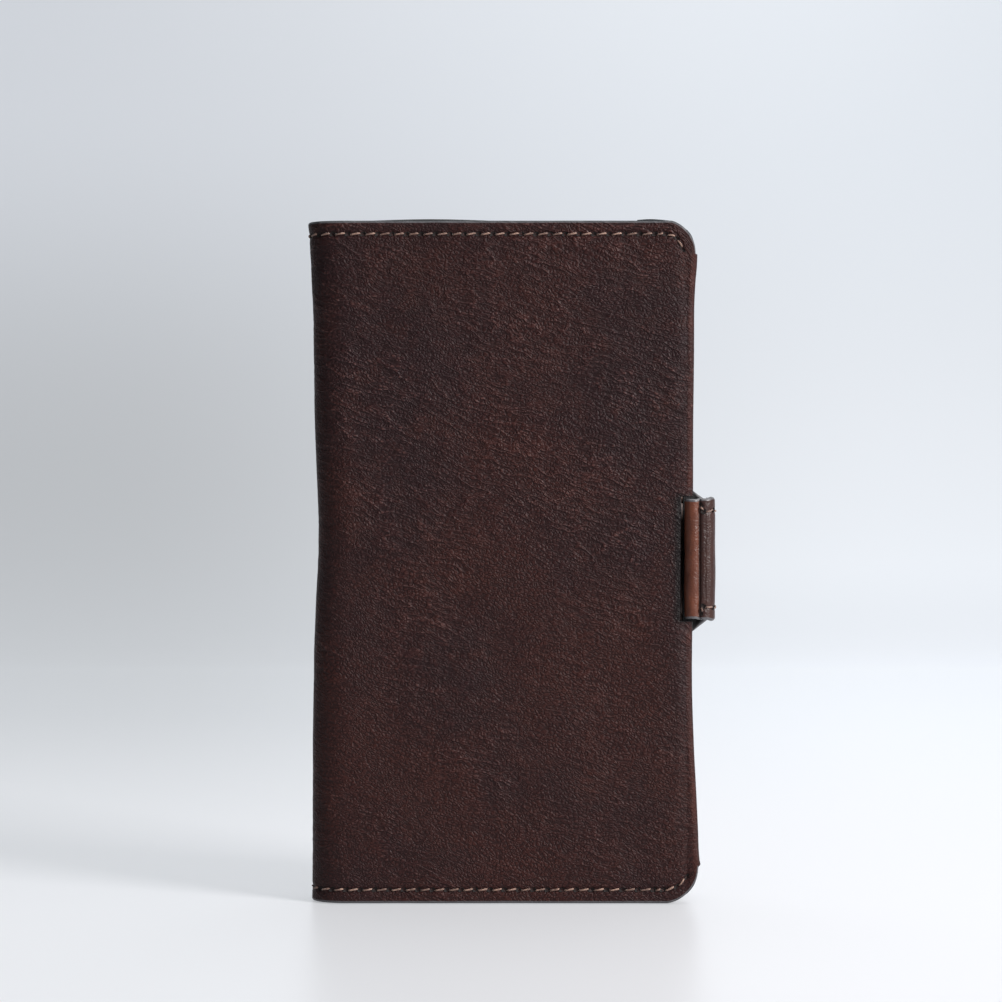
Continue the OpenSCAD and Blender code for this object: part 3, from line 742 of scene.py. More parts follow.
def front_leather():
    sheet = Sheet()
    us = lines(0, U_END, LEATHER_STEP, [(U_FOLD - 3, U_FLAP + 2.4, 0.24), (U_END - 0.8, U_END, 0.16),
                                        (U_NOTCH - 0.8, U_NOTCH, 0.14)], [U_NOTCH, U_NOTCH_FLAP])
    edges = [(NOTCH_LOW - 0.8, NOTCH_LOW, EDGE_ROWS), (NOTCH_HIGH, NOTCH_HIGH + 0.8, EDGE_ROWS)]
    zs = lines(0, CASE_H, 0.62, cover_rows(edges), [NOTCH_LOW, NOTCH_HIGH])
    sheet.grid(us, zs, [(U_NOTCH, U_NOTCH_FLAP, NOTCH_LOW, NOTCH_HIGH)])

    def gap(u, z):
        notch = rect_gap(u, z, U_NOTCH, U_NOTCH_FLAP, NOTCH_LOW, NOTCH_HIGH)
        return np.minimum(outline_gap(u, z), 5 * notch)

    def wear_and_light(u, z):
        # The turned edge's painted highlight, less a painted shadow beside the notch where the strap's roll
        # lies over the cover.
        beside = rect_gap(u, z, U_NOTCH, U_NOTCH_FLAP, NOTCH_LOW + 1, NOTCH_HIGH - 1)
        return fold_highlight(u, z) - peak(beside, 1.9)

    obj = thicken("front_leather", sheet, cover_surface(-1), lambda u, z: np.full(len(u), OUTER_T), [OUTER],
                  relief=lambda u, z: cover_relief(u, z, -1), edge_gap=gap, wear_and_light=wear_and_light)
    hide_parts("front_cover_leather", "spine_leather")
    return wear_slot(obj, "outer_leather")


def window_gap(u, z):
    """Distance from the camera window's round-cornered cut."""
    d = np.column_stack([u - u_of_x(WINDOW[0]), z - WINDOW[2]])
    half = np.array([WINDOW_W / 2 - WINDOW_R, WINDOW_H / 2 - WINDOW_R])
    out = d - np.clip(d, -half, half)
    return np.maximum(np.hypot(out[:, 0], out[:, 1]) - WINDOW_R, 0)


def window_path():
    """Net points of the holes of the stitches round the camera window, in order."""
    half_w, half_h, r = WINDOW_W / 2 + WINDOW_SEAM, WINDOW_H / 2 + WINDOW_SEAM, WINDOW_R + WINDOW_SEAM
    path = []
    for quarter in range(4):
        sx, sz = ((1, 1), (-1, 1), (-1, -1), (1, -1))[quarter]
        for i in range(24):
            a = math.pi / 2 * (quarter + i / 24)
            path.append((sx * (half_w - r) + r * math.cos(a), sz * (half_h - r) + r * math.sin(a)))
    path = np.array(path + path[:1])
    run = np.concatenate([[0], np.cumsum(np.hypot(*np.diff(path, axis=0).T))])
    count = round(run[-1] / STITCH_PITCH)
    at = np.linspace(0, run[-1], count + 1)
    us = u_of_x(WINDOW[0]) + np.interp(at, run, path[:, 0])
    zs = WINDOW[2] + np.interp(at, run, path[:, 1])
    return list(zip(us, zs, strict=True))


def root_rows():
    """Net points of the rows that hold the strap in the back cover: one column and two short rows."""
    column_x = node_box("strap_root_seam")[0][0] + 0.6
    reach = STRAP_HALF - STRAP_MARGIN
    column = [(u_of_x(column_x), STRAP_Z - reach + 2 * reach * i / 7) for i in range(8)]
    rows = []
    for up in (-1, 1):
        rows.append([(u_of_x(column_x) + STITCH_PITCH * i, STRAP_Z + up * reach) for i in range(3)])
    return [column, *rows]


def back_relief(u, z):
    height = cover_relief(u, z, 1)
    near = window_gap(u, z)
    height -= 0.18 * peak(near - WINDOW_SEAM, 0.7)
    dimple(height, u, z, [*window_path(), *[h for row in root_rows() for h in row]], 0.25, 0.3)
    return height


def back_leather():
    sheet = Sheet()
    mid_u = u_of_x(WINDOW[0])
    frame_u = (mid_u - WINDOW_W / 2 - 3, mid_u + WINDOW_W / 2 + 3)
    frame_z = (WINDOW[2] - WINDOW_H / 2 - 3, WINDOW[2] + WINDOW_H / 2 + 3)
    root_low, root_high = STRAP_Z - ROOT_DROP - ROOT_HALF, STRAP_Z - ROOT_DROP + ROOT_HALF
    bite_u = U_FLAP + X_EDGE - FOLD_R - (WINDOW[0] + WINDOW_W / 2 + 1)
    us = lines(0, U_END, LEATHER_STEP, [(U_FOLD - 3, U_FLAP + 1, 0.24), (U_END - 0.8, U_END, 0.16)],
               [U_FOLD, bite_u, *frame_u])
    edges = [(root_low - 0.8, root_low, EDGE_ROWS), (root_high, root_high + 0.8, EDGE_ROWS)]
    bite_z = (frame_z[0] + 2, frame_z[1] - 2)
    zs = lines(0, CASE_H, 0.62, cover_rows(edges), [root_low, root_high, *bite_z, *frame_z])
    bite = (bite_u, U_END + 1, *bite_z)
    sheet.grid(us, zs, [(*frame_u, *frame_z), (U_FOLD, U_END, root_low, root_high), bite])
    inside_u = us[(us > frame_u[0] - 0.01) & (us < frame_u[1] + 0.01)]
    inside_z = zs[(zs > frame_z[0] - 0.01) & (zs < frame_z[1] + 0.01)]
    sheet.hole(inside_u, inside_z, (mid_u - WINDOW_W / 2, mid_u + WINDOW_W / 2,
                                    WINDOW[2] - WINDOW_H / 2, WINDOW[2] + WINDOW_H / 2), WINDOW_R, 11)

    def gap(u, z):
        slit = rect_gap(u, z, U_FOLD + 0.7, U_END, root_low, root_high)
        return np.minimum.reduce([outline_gap(u, z), window_gap(u, z), slit, rect_gap(u, z, *bite)])

    obj = thicken("back_leather", sheet, cover_surface(1), lambda u, z: np.full(len(u), OUTER_T), [OUTER],
                  relief=back_relief, edge_gap=gap, wear_and_light=fold_highlight, flip=True,
                  hide=lambda u, z: np.column_stack([-u, z, 0 * u]))
    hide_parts("back_cover_leather")
    return wear_slot(obj, "outer_leather")


# ---------- strap ----------

def strap_curve():
    """The strap's outer face seen from above, from the back cover to the end of the roll, as close points."""
    a = np.linspace(0, math.pi / 2, 40)
    start = np.column_stack([np.linspace(X_EDGE - FOLD_R, ROOT_BEND[0], 20), np.full(20, Y_FACE)])
    root = np.column_stack([ROOT_BEND[0] + ROOT_R * np.sin(a), ROOT_BEND[1] + ROOT_R * np.cos(a)])
    side = np.column_stack([np.full(30, X_OUT), np.linspace(ROOT_BEND[1], FRONT_BEND[1], 30)])
    b = np.linspace(0, math.radians(94), 44)
    front = np.column_stack([FRONT_BEND[0] + FRONT_R * np.cos(b), FRONT_BEND[1] - FRONT_R * np.sin(b)])
    c = np.radians(np.linspace(-44, -338, 120))
    roll = np.column_stack([ROLL[0] + ROLL_D / 2 * np.cos(c), ROLL[1] + ROLL_D / 2 * np.sin(c)])
    points = np.vstack([start, root[1:], side[1:], front[1:], CREASE, roll])
    run = run_along(points)
    even = np.linspace(0, run[-1], int(run[-1] / 0.04))
    points = np.column_stack([np.interp(even, run, points[:, 0]), np.interp(even, run, points[:, 1])])
    kernel = np.exp(-(np.arange(-9, 10) / 4.0) ** 2)
    kernel /= kernel.sum()
    soft = np.column_stack([np.convolve(np.pad(points[:, k], 9, "edge"), kernel, "valid") for k in (0, 1)])
    soft[:9] = points[:9]
    run = run_along(soft)
    travel = np.gradient(soft, run, axis=0)
    travel /= np.linalg.norm(travel, axis=1)[:, None]
    return soft, run, np.column_stack([-travel[:, 1], travel[:, 0]])


STRAP_PLAN, STRAP_RUN, STRAP_OUT = strap_curve()


def run_at(x, y):
    """How far along the strap the place nearest to (x, y) is."""
    return float(STRAP_RUN[np.argmin(np.hypot(*(STRAP_PLAN - [x, y]).T))])


S_END = STRAP_RUN[-1]
S_EDGE = FOLD_R
S_ROOT = run_at(X_OUT, ROOT_BEND[1])
S_MID = run_at(X_OUT, (ROOT_BEND[1] + FRONT_BEND[1]) / 2)
S_SIDE = run_at(X_OUT, FRONT_BEND[1])
S_CREASE = run_at(*CREASE)
V_HALF = 15.0


def strap_half(s):
    """Half the strap's height along its run: wide in the cover, then through the fillets to the strap."""
    x = np.interp(s, STRAP_RUN, STRAP_PLAN[:, 0])
    out = np.clip((x - X_EDGE) / (X_OUT - X_EDGE - 0.3), 0, 1)
    root = np.where(s < S_MID, STRAP_HALF + ROOT_FILLET * (1 - out) ** 0.9, STRAP_HALF)
    flare = 0.42 * peak(s - S_SIDE - 1.6, 1.5)
    roll = -0.25 * smooth((s - S_CREASE) / 1.2) + 0.12 * smooth((s - S_CREASE - 2) / 2)
    return root + flare + roll - 0.22 * smooth(s / 0.6)


def strap_point(s, v, inset=0.0):
    """A point of the strap, v from -15 to 15 across its height, inset from its outer face."""
    s, v = np.broadcast_arrays(np.asarray(s, float), np.asarray(v, float))
    x = np.interp(s, STRAP_RUN, STRAP_PLAN[:, 0]) - np.interp(s, STRAP_RUN, STRAP_OUT[:, 0]) * inset
    y = np.interp(s, STRAP_RUN, STRAP_PLAN[:, 1]) - np.interp(s, STRAP_RUN, STRAP_OUT[:, 1]) * inset
    in_cover = 1 - smooth((s - S_EDGE) / 3)
    z = STRAP_Z - ROOT_DROP * (1 - smooth((s - S_EDGE) / (S_SIDE - S_EDGE))) + v * strap_half(s) / V_HALF
    x = x + sway_at(np.full(len(z), X_EDGE), z) * in_cover
    bulge = 0.18 * (1 - (v / V_HALF) ** 2) * smooth((s - S_ROOT) / 3) * (1 - smooth((s - S_CREASE + 2) / 2))
    return np.column_stack([x + bulge, y, z])


def strap_holes():
    """Net points of the strap's two rows; each row's last hole turns out towards the edge at the crease."""
    rows = []
    for up in (-1, 1):
        row_v = up * (V_HALF - STRAP_MARGIN)
        row = [(s, row_v) for s in np.arange(S_CREASE - 0.9, S_EDGE + 2.6, -3.3)][::-1]
        row += [(S_CREASE - 0.45, row_v + up * 1.7)]
        rows.append(row)
    return rows


def strap_relief(s, v):
    z = STRAP_Z + v
    u = U_FOLD + s
    height = 0.10 * noise(u / 7.5, z / 9, 32)
    cover_side = 1 - smooth(s / 2.5)
    height = height * (1 - cover_side) + back_relief(np.minimum(u, U_FOLD + 2.4), z) * cover_side
    row = np.abs(np.abs(v) - (V_HALF - STRAP_MARGIN))
    in_roll = smooth((s - S_CREASE) / 1.0)
    height -= 0.14 * peak(row, 0.7) * (1 - in_roll)
    dimple(height, s, v, [h for row in strap_holes() for h in row], 0.22, 0.25)
    # Small upright creases under the top row, where the leather is squeezed round the bend
    near_bend = peak(s - S_CREASE + 2.2, 1.6)
    creases = np.sin(s * 6.5 + 2.2 * noise(s / 2, v / 4, 55))
    height += 0.05 * near_bend * creases * smooth((V_HALF - 3.4 - np.abs(v)) / 1.2)
    # The roll is drawn unevenly over its core
    height += in_roll * (0.09 * noise(s / 2.5, v / 5, 56) + 0.035 * noise(s * 1.1, v / 3, 57))
    return height


def strap_pullup_and_highlight(s, v):
    # Lighter tone on the roll, the front bend and the root: partly the leather's pull-up where it is bent,
    # partly a painted highlight.
    roll = smooth((s - S_CREASE + 0.2) / 0.8)
    bend = peak(s - S_SIDE - 3.2, 2.2)
    root = peak(s - S_EDGE - 3.0, 3.0)
    return np.clip(0.44 * roll + 0.12 * bend + 0.15 * root, 0, 1)


def strap_piece(name, low, high, end_cut):
    """The strap's leather between two places on its run. end_cut is true where the far end is a cut edge."""
    sheet = Sheet()
    sheet.grid(lines(low, high, 0.22), lines(-V_HALF, V_HALF, 0.34, [
        (-V_HALF, -V_HALF + 0.8, 0.12), (V_HALF - 0.8, V_HALF, 0.12)]))

    def gap(s, v):
        across = (V_HALF - np.abs(v)) * strap_half(s) / V_HALF
        return np.minimum(across, high - s) if end_cut else across

    def thickness(s, v):
        return OUTER_T + (0.78 - OUTER_T) * smooth((s - S_CREASE + 0.6) / 1.2)

    return thicken(name, sheet, strap_point, thickness, [STRAP], relief=strap_relief, edge_gap=gap,
                   wear_and_light=strap_pullup_and_highlight, flip=True,
                   hide=lambda s, v: np.column_stack([-U_FOLD - s, STRAP_Z + v, 0 * s]))


def strap_lining_piece(name, low, high):
    """The black lining glued inside the strap."""
    sheet = Sheet()
    sheet.grid(lines(low, high, 0.3), lines(-V_HALF, V_HALF, 0.6, [
        (-V_HALF, -V_HALF + 0.5, 0.14), (V_HALF - 0.5, V_HALF, 0.14)]))
    trim = 0.985
    return thicken(name, sheet, lambda s, v: strap_point(s, v * trim, OUTER_T + STRAP_LINING_T),
                   lambda s, v: np.full(len(s), STRAP_LINING_T), [BLACK],
                   relief=lambda s, v: 0.05 * noise(s / 3, v / 4, 61),
                   edge_gap=lambda s, v: (V_HALF - np.abs(v)) * strap_half(s) / V_HALF, round_r=0.25)


# ---------- linings and pockets ----------

def lining_inset(u):
    """How far in the lining's inner face is: less round the spine, where there is no board."""
    x = np.interp(u, RUN, PLAN[:, 0])
    return OUTER_T + LINING_T + BOARD_T * smooth((x - FOLD[0] - 0.6) / 1.8)


def lining(side):
    sheet = Sheet()
    u_end = u_of_x(X_EDGE - FLAP_W - 0.1)
    low, high = 0.18, CASE_H - 0.18
    rows = [(low, low + 0.6, 0.14), (high - 0.6, high, 0.14), (SEAM_MARGIN - 1, SEAM_MARGIN + 1, 0.3),
            (CASE_H - SEAM_MARGIN - 1, CASE_H - SEAM_MARGIN + 1, 0.3)]
    columns = [(u_end - 0.6, u_end, 0.14), (3, 15, 0.45)]
    cuts = []
    if side < 0:
        sheet.grid(lines(0, u_end, 1.1, columns), lines(low, high, 1.1, rows))
        u_far = u_end
    else:
        # A tab under the strap's root, and the camera window, which runs out through the lining's edge
        u_far = u_of_x(X_EDGE - 0.5)
        tab = (STRAP_Z - ROOT_HALF + 0.2, STRAP_Z + ROOT_HALF - 0.2)
        cuts = [(u_end, u_far + 9, -9, tab[0]), (u_end, u_far + 9, tab[1], CASE_H + 9)]
        u0, z0 = u_of_x(WINDOW[0]) - WINDOW_W / 2, WINDOW[2] - WINDOW_H / 2
        frame_z = (z0 - 3, z0 + WINDOW_H + 3)
        us = lines(0, u_far, 1.0, columns, [u0 - 3, u_end])
        zs = lines(low, high, 1.0, rows, [*tab, *frame_z])
        sheet.grid(us, zs, [(u0 - 3, u_end, *frame_z), *cuts])
        inside_u = us[(us > u0 - 3.01) & (us < u_end + 0.01)]
        inside_z = zs[(zs > frame_z[0] - 0.01) & (zs < frame_z[1] + 0.01)]
        window = (u0, u0 + WINDOW_W, z0, z0 + WINDOW_H)
        sheet.hole(inside_u, inside_z, window, WINDOW_R, 8, open_side=True)

    def gap(u, z):
        edge = np.minimum.reduce([z - low, high - z, u_far - u, *[rect_gap(u, z, *c) for c in cuts]])
        return np.minimum(edge, window_gap(u, z)) if side > 0 else edge

    def relief(u, z):
        crinkle = peak(u - 9.0, 5.0)
        groove = sum(peak(z - row, 0.8) for row in (SEAM_MARGIN, CASE_H - SEAM_MARGIN))
        upright = np.sin(u * 2.6 + 1.5 * noise(u / 3, z / 14, 82))
        return 0.06 * noise(u / 12, z / 12, 81) - 0.12 * groove + 0.06 * crinkle * upright

    name = "front_lining_leather" if side < 0 else "back_lining_leather"
    obj = thicken(name, sheet, cover_surface(side, lining_inset), lambda u, z: np.full(len(u), LINING_T),
                  [LINING], relief=relief, edge_gap=gap, round_r=0.4, flip=side < 0)
    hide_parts(*(("front_lining", "spine_lining") if side < 0 else ("back_lining",)))
    return wear_slot(obj, "lining_leather")


def pocket(name, order, mouth_x, end_x, seed):
    """A thin pocket leather standing full height, its mouth edge creased, bellied a little."""
    sheet = Sheet()
    low, high = 1.05, CASE_H - 1.05
    face_y = -Y_FACE + COVER_T + POCKET_T * order
    sheet.grid(lines(mouth_x, end_x, 1.0, [(mouth_x, mouth_x + 2.4, 0.16), (end_x - 0.5, end_x, 0.14)]),
               lines(low, high, 1.0, [(low, low + 0.5, 0.14), (high - 0.5, high, 0.14), (66, 76, 0.5)]))

    def surface(x, z):
        x, z = np.broadcast_arrays(np.asarray(x, float), np.asarray(z, float))
        belly = smooth((z - low) / 14) * smooth((high - z) / 14) * smooth((end_x - x) / 26)
        wave = 0.10 * noise(z / 23, x / 40, seed) * belly
        shift = curve(z, EDGE_SWAY) * smooth((x - X_EDGE + 30) / 30) * 0.8
        return np.column_stack([x + shift, face_y + 0.47 + wave + 0.04 * belly, z])

    def relief(x, z):
        crease = -0.09 * peak(x - mouth_x - 1.7, 0.22)
        stitched = -0.08 * sum(peak(z - row, 0.7) for row in (SEAM_MARGIN, CASE_H - SEAM_MARGIN))
        tooled = -0.07 * peak(z - DIVIDER_Z, 0.6) * (order > 0)
        return crease + stitched + tooled + 0.03 * noise(x / 5, z / 6, seed + 1)

    def gap(x, z):
        return np.minimum.reduce([x - mouth_x, end_x - x, z - low, high - z])

    obj = thicken(name + "_leather", sheet, surface, lambda x, z: np.full(len(x), 0.46), [POCKET],
                  relief=relief, edge_gap=gap, round_r=0.2, flip=True,
                  wear_and_light=lambda x, z: 0.35 * smooth((mouth_x + 1.2 - x) / 1.2),
                  hide=lambda x, z: np.column_stack([x + 160 * order, z, 0 * x]))
    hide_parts(name)
    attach(obj, "front_cover")
    return wear_slot(obj, "pocket_leather")


# ---------- stitches ----------

THREAD_R = 0.19
THREAD_DIVE = 0.55
SLANT = 0.24
HOLE_SIZE = (0.74, 0.48)


def ring_faces(number, count, around):
    """Faces between the rings of a number of tubes, each of count rings with around points."""
    i, k, j = np.meshgrid(np.arange(number), np.arange(count - 1), np.arange(around), indexing="ij")
    base, n = (i * count + k) * around, (j + 1) % around
    corners = [base + j, base + n, base + n + around, base + j + around]
    return np.stack(corners, axis=3).reshape(-1, 4).tolist()


def tubes(ends, place, up, thick, rise):
    """Waxed threads, one for each pair of net points in ends. place(u, z, height) gives points over the
    leather, and up tells which way z runs beside the row."""
    a, b = ends[:, 0], ends[:, 1]
    d = (b - a) / np.linalg.norm(b - a, axis=1)[:, None]
    side = np.column_stack([-d[:, 1], d[:, 0]]) * up
    start, stop = a + d * 0.34 - side * SLANT, b - d * 0.62 + side * SLANT
    number, count, around = len(ends), 15, 10
    t = np.linspace(0, 1, count)
    height = np.tile(rise + thick * 0.55 - (THREAD_DIVE + thick) * np.abs(2 * t - 1) ** 5, number)
    flat = (start[:, None] + (stop - start)[:, None] * t[None, :, None]).reshape(-1, 2)
    middle = place(flat[:, 0], flat[:, 1], height).reshape(number, count, 3)
    over = place(flat[:, 0], flat[:, 1], height + 0.1).reshape(number, count, 3) - middle
    along = np.gradient(middle, axis=1)
    across = np.cross(along, over)
    across /= np.linalg.norm(across, axis=2)[:, :, None]
    over = np.cross(across, along)
    over /= np.linalg.norm(over, axis=2)[:, :, None]
    angle = 2 * math.pi * np.arange(around) / around
    twist = angle[None, :] - t[:, None] * 4.2
    swell = (thick * (0.82 + 0.18 * np.sin(math.pi * t)))[:, None] * (1 + 0.14 * np.cos(2 * twist))
    offset = np.cos(angle)[None, None, :, None] * across[:, :, None] * 1.12
    offset = offset + np.sin(angle)[None, None, :, None] * over[:, :, None] * 0.9
    points = (middle[:, :, None] + offset * swell[None, :, :, None]).reshape(-1, 3)
    length = np.linalg.norm(stop - start, axis=1)
    run = length[:, None, None] * t[None, :, None] + 5.3 * np.arange(number)[:, None, None] + 0 * angle
    wrap = np.broadcast_to(thick * twist * 1.5, run.shape)
    hides = np.stack([run, wrap, run * 0 + 1.7 * np.arange(number)[:, None, None]], axis=3).reshape(-1, 3)
    return points, hides, ring_faces(number, count, around)


def cups(places, directions, place, up):
    """The awl's slits, as shallow cups sunk in the leather, coloured near black as painted shade for the
    inside of each hole.
    """
    d = directions / np.linalg.norm(directions, axis=1)[:, None]
    side = np.column_stack([-d[:, 1], d[:, 0]]) * up
    centre = places - d * 0.12
    around, turn = 14, 0.55
    angle = 2 * math.pi * np.arange(around) / around
    p, q = np.cos(angle) * HOLE_SIZE[0], np.sin(angle) * HOLE_SIZE[1]
    along, beside = p * math.cos(turn) - q * math.sin(turn), p * math.sin(turn) + q * math.cos(turn)
    rings, hides = [], []
    rim = d[:, None] * along[None, :, None] + side[:, None] * beside[None, :, None]
    shape = (len(places), around, 3)
    for scale, height in ((1.0, 0.13), (0.72, 0.04), (0.02, -0.04)):
        flat = (centre[:, None] + scale * rim).reshape(-1, 2)
        heights = np.full(len(flat), height)
        rings.append(place(flat[:, 0], flat[:, 1], heights).reshape(shape))
        hides.append(np.column_stack([flat, heights]).reshape(shape))
    points = np.stack(rings, axis=1).reshape(-1, 3)
    return points, np.stack(hides, axis=1).reshape(-1, 3), ring_faces(len(places), 3, around)


def seam(name, paths, place, up=1, inner=False, thick=THREAD_R, rise=0.16):
    """Threads and awl holes along rows of net points, as one piece."""
    ends = np.array([pair for path in paths for pair in zip(path, path[1:], strict=False)], float)
    points, hides, faces = tubes(ends, place, up, thick, rise)
    kinds = [0] * len(faces)
    if not inner:
        firsts = np.array([path[0] for path in paths])
        leads = np.array([np.subtract(path[1], path[0]) for path in paths])
        at, way = np.vstack([firsts, ends[:, 1]]), np.vstack([leads, ends[:, 1] - ends[:, 0]])
        more, marks, cup_faces = cups(at, way, place, up)
        faces += (np.array(cup_faces) + len(points)).tolist()
        kinds += [1] * len(cup_faces)
        points, hides = np.vstack([points, more]), np.vstack([hides, marks])
    obj = put_mesh(name, points, faces, [THREAD, HOLE_SHADE], [("hide", hides)], kinds)
    return wear_slot(obj, "thread")


def raised(surface, relief, sign=1):
    """Places points at a height over the displaced leather of a surface function, on the side sign gives."""
    def place(u, z, height):
        u, z = np.asarray(u, float), np.asarray(z, float)
        n = normals_of(surface, u, z) * sign
        return surface(u, z) + n * (relief(u, z) + height)[:, None]
    return place


def flat_relief(u, z):
    return np.full(len(u), -0.08)


DIVIDER_Z = 71.0
CARD_MOUTH = X_LEFT + 20
CARD_STEP = 11.0
CARD_DEPTH = 47.0
CASH_MOUTH = X_LEFT + 11
PANEL_END = X_EDGE - 5.2
PANELS = (
    (CASH_MOUTH, PANEL_END),
    (CARD_MOUTH, CARD_MOUTH + CARD_DEPTH),
    (CARD_MOUTH + CARD_STEP, CARD_MOUTH + CARD_STEP + CARD_DEPTH),
    (CARD_MOUTH + 2 * CARD_STEP, PANEL_END),
)


def sewn_inset(u):
    """Inset of the innermost face that the cover's rows go through, over the pocket leathers."""
    x = np.interp(u, RUN, PLAN[:, 0])
    inset = lining_inset(u)
    for order, (mouth, end) in enumerate(PANELS):
        inset = np.where((x > mouth) & (x < end), COVER_T + POCKET_T * (order + 1), inset)
    return inset


def cover_seams(side):
    """The top and bottom rows of one half, thread on the outer face and on the inner one."""
    half = "front" if side < 0 else "back"
    outer = raised(cover_surface(side), lambda u, z: cover_relief(np.array(u), np.array(z), side), -side)
    inset = sewn_inset if side < 0 else lining_inset
    inner = raised(cover_surface(side, inset), flat_relief, side)
    made = []
    for up, word in ((1, "top"), (-1, "bottom")):
        row = ROWS[up]
        # The row goes on to the middle of the spine, where the other half's row begins
        lead = row[0][0] - STITCH_PITCH
        if lead > -STITCH_PITCH:
            row = [(lead, row[0][1]), *row]
        a = seam(f"{half}_{word}_stitches", [row], outer, up=1 if side < 0 else -1)
        b = seam(f"{half}_{word}_inner_stitches", [row[1:]], inner, inner=True, thick=0.3, rise=0.05)
        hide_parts(f"{half}_{word}_seam", f"spine_{word}_seam")
        made += [a, b]
    return made


def divider_seam():
    """The stitched line that closes the card pockets."""
    def surface(x, z):
        x, z = np.broadcast_arrays(np.asarray(x, float), np.asarray(z, float))
        order = np.zeros(len(x))
        for i, (mouth, end) in enumerate(PANELS):
            order = np.where((x > mouth) & (x < end), i + 1, order)
        return np.column_stack([x, -Y_FACE + COVER_T + POCKET_T * order, z])

    count = int((PANEL_END - CARD_MOUTH - 4) // STITCH_PITCH)
    row = [(CARD_MOUTH + 2 + i * STITCH_PITCH, DIVIDER_Z) for i in range(count + 1)]
    obj = seam("pocket_divider_stitches", [row], raised(surface, flat_relief, -1), thick=0.29, rise=0.05)
    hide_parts("pocket_divider_seam")
    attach(obj, "front_cover")


def back_seam(name, rows, node):
    """A seam in the back cover's outer face."""
    place = raised(cover_surface(1), lambda u, z: back_relief(np.array(u), np.array(z)), -1)
    obj = seam(name, rows, place, up=-1)
    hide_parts(node)
    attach(obj, "back")


def strap_seams():
    place = raised(strap_point, lambda s, v: strap_relief(np.array(s), np.array(v)), -1)
    made = []
    parts = (
        ("strap_stitches", 0, S_MID, "strap_seam"),
        ("strap_end_stitches", S_MID, S_END, "strap_end_seam"),
    )
    for name, low, high, node in parts:
        paths = []
        for row in strap_holes():
            pairs = zip(row, row[1:], strict=False)
            paths += [[a, b] for a, b in pairs if low < (a[0] + b[0]) / 2 <= high]
        obj = seam(name, paths, place, up=-1)
        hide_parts(node)
        made.append(obj)
    return made


# ---------- the object ----------

def point(x, y):
    return (x * MM, y * MM, CASE_H / 2 * MM)


FOLD_ENDS = {side: (point(X_LEFT, -side * FOLD[1]), point(FOLD[0], side * Y_FACE)) for side in (-1, 1)}


def across_spine(obj, side):
    start, end = FOLD_ENDS[side]
    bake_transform(obj)
    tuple(start)
    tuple(end)


def across_root(obj):
    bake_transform(obj)


def across_front(obj):
    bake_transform(obj)


across_spine(front_leather(), -1)
across_spine(back_leather(), 1)
for side in (-1, 1):
    across_spine(lining(side), side)
for side in (-1, 1):
    for stitches in cover_seams(side):
        across_spine(stitches, side)

strap_side = strap_piece("strap_side_leather", 0.0, S_MID, False)
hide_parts("strap_leather")
strap_tip = strap_piece("strap_tip_leather", S_MID, S_END, True)
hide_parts("strap_end_leather")
side_lining = strap_lining_piece("strap_side_lining", 0.0, S_MID)
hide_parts("strap_lining", "strap_root_lining")
tip_lining = strap_lining_piece("strap_tip_lining", S_MID, S_CREASE - 0.5)
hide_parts("strap_end_lining")
side_stitches, tip_stitches = strap_seams()
for obj in (strap_side, side_lining, side_stitches):
    across_root(obj)
for obj in (strap_tip, tip_lining, tip_stitches):
    across_front(obj)
for obj, name in ((strap_side, "strap_leather"), (strap_tip, "strap_leather"), (side_lining, "black_leather"),
                  (tip_lining, "black_leather")):
    wear_slot(obj, name)

POCKETS = ("cash_pocket_panel", "card_pocket_back", "card_pocket_middle", "card_pocket_front")
for order, name in enumerate(POCKETS):
    pocket(name, order, *PANELS[order], 91 + 2 * order)
divider_seam()
back_seam("camera_window_stitches", [window_path()], "camera_window_seam")
back_seam("strap_root_stitches", root_rows(), "strap_root_seam")

SOLIDS = {
    "fibre_board": solid_material("fibre_board", (0.30, 0.20, 0.13), (0.17, 0.11, 0.07), 0.85),
    "steel": solid_material(
        "steel", (0.55, 0.55, 0.56), (0.42, 0.42, 0.43), 0.34, metallic=1.0, streak=(8, 1, 1)),
    "magnet": solid_material(
        "magnet", (0.62, 0.61, 0.60), (0.45, 0.44, 0.43), 0.28, metallic=1.0, depth=0.01),
    "adhesive": solid_material("adhesive", (0.40, 0.40, 0.41), (0.28, 0.28, 0.29), 0.8),
    "tray_plastic": solid_material(
        "tray_plastic", (0.022, 0.022, 0.024), (0.012, 0.012, 0.013), 0.46, depth=0.015),
}
KEPT = {
    "front_board": "fibre_board", "back_board": "fibre_board", "catch_plate": "steel",
    "strap_magnet": "magnet", "tray_adhesive": "adhesive", "phone_tray": "tray_plastic",
}
for node, finish in KEPT.items():
    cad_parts[node].data.materials.clear()
    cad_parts[node].data.materials.append(SOLIDS[finish])


# ---------- studio ----------

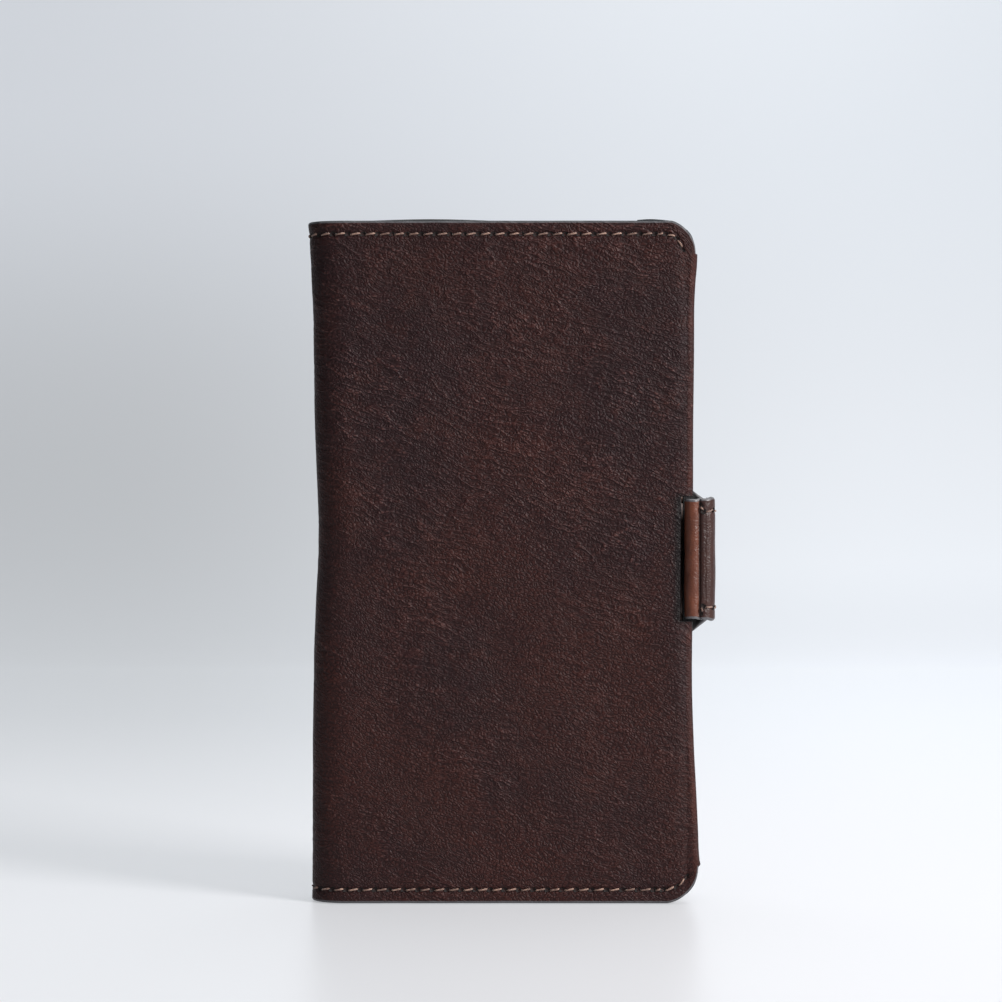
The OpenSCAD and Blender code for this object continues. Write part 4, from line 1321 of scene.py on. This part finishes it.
def studio():
    """A pale floor that sweeps up into the backdrop behind the case."""
    near, far_y, height, curve_r, width = -3.0, 1.5, 2.4, 0.7, 4.5
    a = np.linspace(0, math.pi / 2, 24)
    bend = [(far_y - curve_r + curve_r * math.sin(t), curve_r * (1 - math.cos(t))) for t in a]
    profile = [(near, 0.0), *bend]
    profile.append((far_y, height))
    points = [(x, y, z - 0.0002) for y, z in profile for x in (-width, width)]
    faces = [[2 * i, 2 * i + 1, 2 * i + 3, 2 * i + 2] for i in range(len(profile) - 1)]
    mesh = bpy.data.meshes.new("studio")
    mesh.from_pydata(points, [], faces)
    mesh.polygons.foreach_set("use_smooth", np.ones(len(faces), bool))
    net = Net("studio_paper")
    at = net.node("ShaderNodeTexCoord").outputs["Object"]
    axes = net.node("ShaderNodeSeparateXYZ", {0: at}).outputs
    # The paper's colour is painted light: it glows softly, a little brighter on the right, near the case, so
    # that shadows stay faint
    distance = net.math("MAXIMUM", net.math("ADD", axes[1], 0.6), 0.35)
    right = net.ramp(net.math("DIVIDE", axes[0], distance), -0.17, 0.17)
    far = net.ramp(axes[1], -0.10, 0.56)
    wall = net.ramp(axes[2], 0.0, 0.06)
    lift = net.ramp(axes[2], 0.08, 0.44)
    near_tone, far_tone, high_tone, wall_tone = [
        net.mix(right, GLOW[place + "_left"], GLOW[place + "_right"])
        for place in ("near", "far", "high", "wall")
    ]
    glow = net.mix(wall, net.mix(far, near_tone, far_tone), net.mix(lift, wall_tone, high_tone))
    # The floor in front of the picture is left duller, so that the case's front stays dark
    glow = net.mix(net.ramp(axes[1], -0.45, -0.12), (0.16, 0.165, 0.17), glow)
    net.feed(net.bsdf.inputs["Emission Color"], glow)
    net.bsdf.inputs["Emission Strength"].default_value = 1.0
    mesh.materials.append(net.finish((0.30, 0.30, 0.31), 0.34, Specular_IOR_Level=0.4))
    obj = bpy.data.objects.new("studio", mesh)
    bpy.context.scene.collection.objects.link(obj)


def lamp(name, place, target, size, power, colour=(1, 1, 1)):
    """A soft rectangular light aimed at a point; sizes and places in metres."""
    data = bpy.data.lights.new(name, "AREA")
    data.shape, data.size, data.size_y = "RECTANGLE", size[0], size[1]
    data.energy, data.color = power, colour
    obj = bpy.data.objects.new(name, data)
    obj.location = place
    obj.rotation_euler = (Vector(target) - Vector(place)).to_track_quat("-Z", "Y").to_euler()
    bpy.context.scene.collection.objects.link(obj)


# The studio paper's glow, painted light: darker on the left, brighter on the right.
GLOW = {
    "near_left": (0.393, 0.404, 0.418), "near_right": (0.427, 0.430, 0.444),
    "far_left": (0.262, 0.277, 0.288), "far_right": (0.450, 0.475, 0.508),
    "wall_left": (0.255, 0.270, 0.281), "wall_right": (0.535, 0.565, 0.600),
    "high_left": (0.430, 0.458, 0.495), "high_right": (0.527, 0.567, 0.612),
}
studio()
lamp("key", (0.95, -0.62, 0.62), (0.0, 0.0, 0.09), (0.40, 0.50), 24, (1.0, 0.98, 0.97))
lamp("fill", (-0.9, -0.9, 0.5), (0.0, 0.0, 0.08), (0.8, 1.0), 0.5, (0.94, 0.97, 1.0))
lamp("top", (0.15, 0.1, 1.3), (0.0, 0.05, 0.0), (1.2, 1.0), 12, (0.97, 0.99, 1.0))

world = bpy.data.worlds.new("world")
world.use_nodes = True
world.node_tree.nodes["Background"].inputs[0].default_value = (0.86, 0.92, 1.0, 1)
world.node_tree.nodes["Background"].inputs[1].default_value = 0.04
bpy.context.scene.world = world

camera_data = bpy.data.cameras.new("camera")
camera_data.lens = 85.75
camera_data.sensor_width = 36.0
camera_data.clip_start, camera_data.clip_end = 0.05, 20
camera = bpy.data.objects.new("camera", camera_data)
camera.location = (-0.0029, -(Y_FACE + 580) * MM, 0.0978)
camera.rotation_euler = (math.radians(90), 0, 0)
bpy.context.scene.collection.objects.link(camera)
bpy.context.scene.camera = camera
bpy.context.scene.view_settings.view_transform = "Standard"
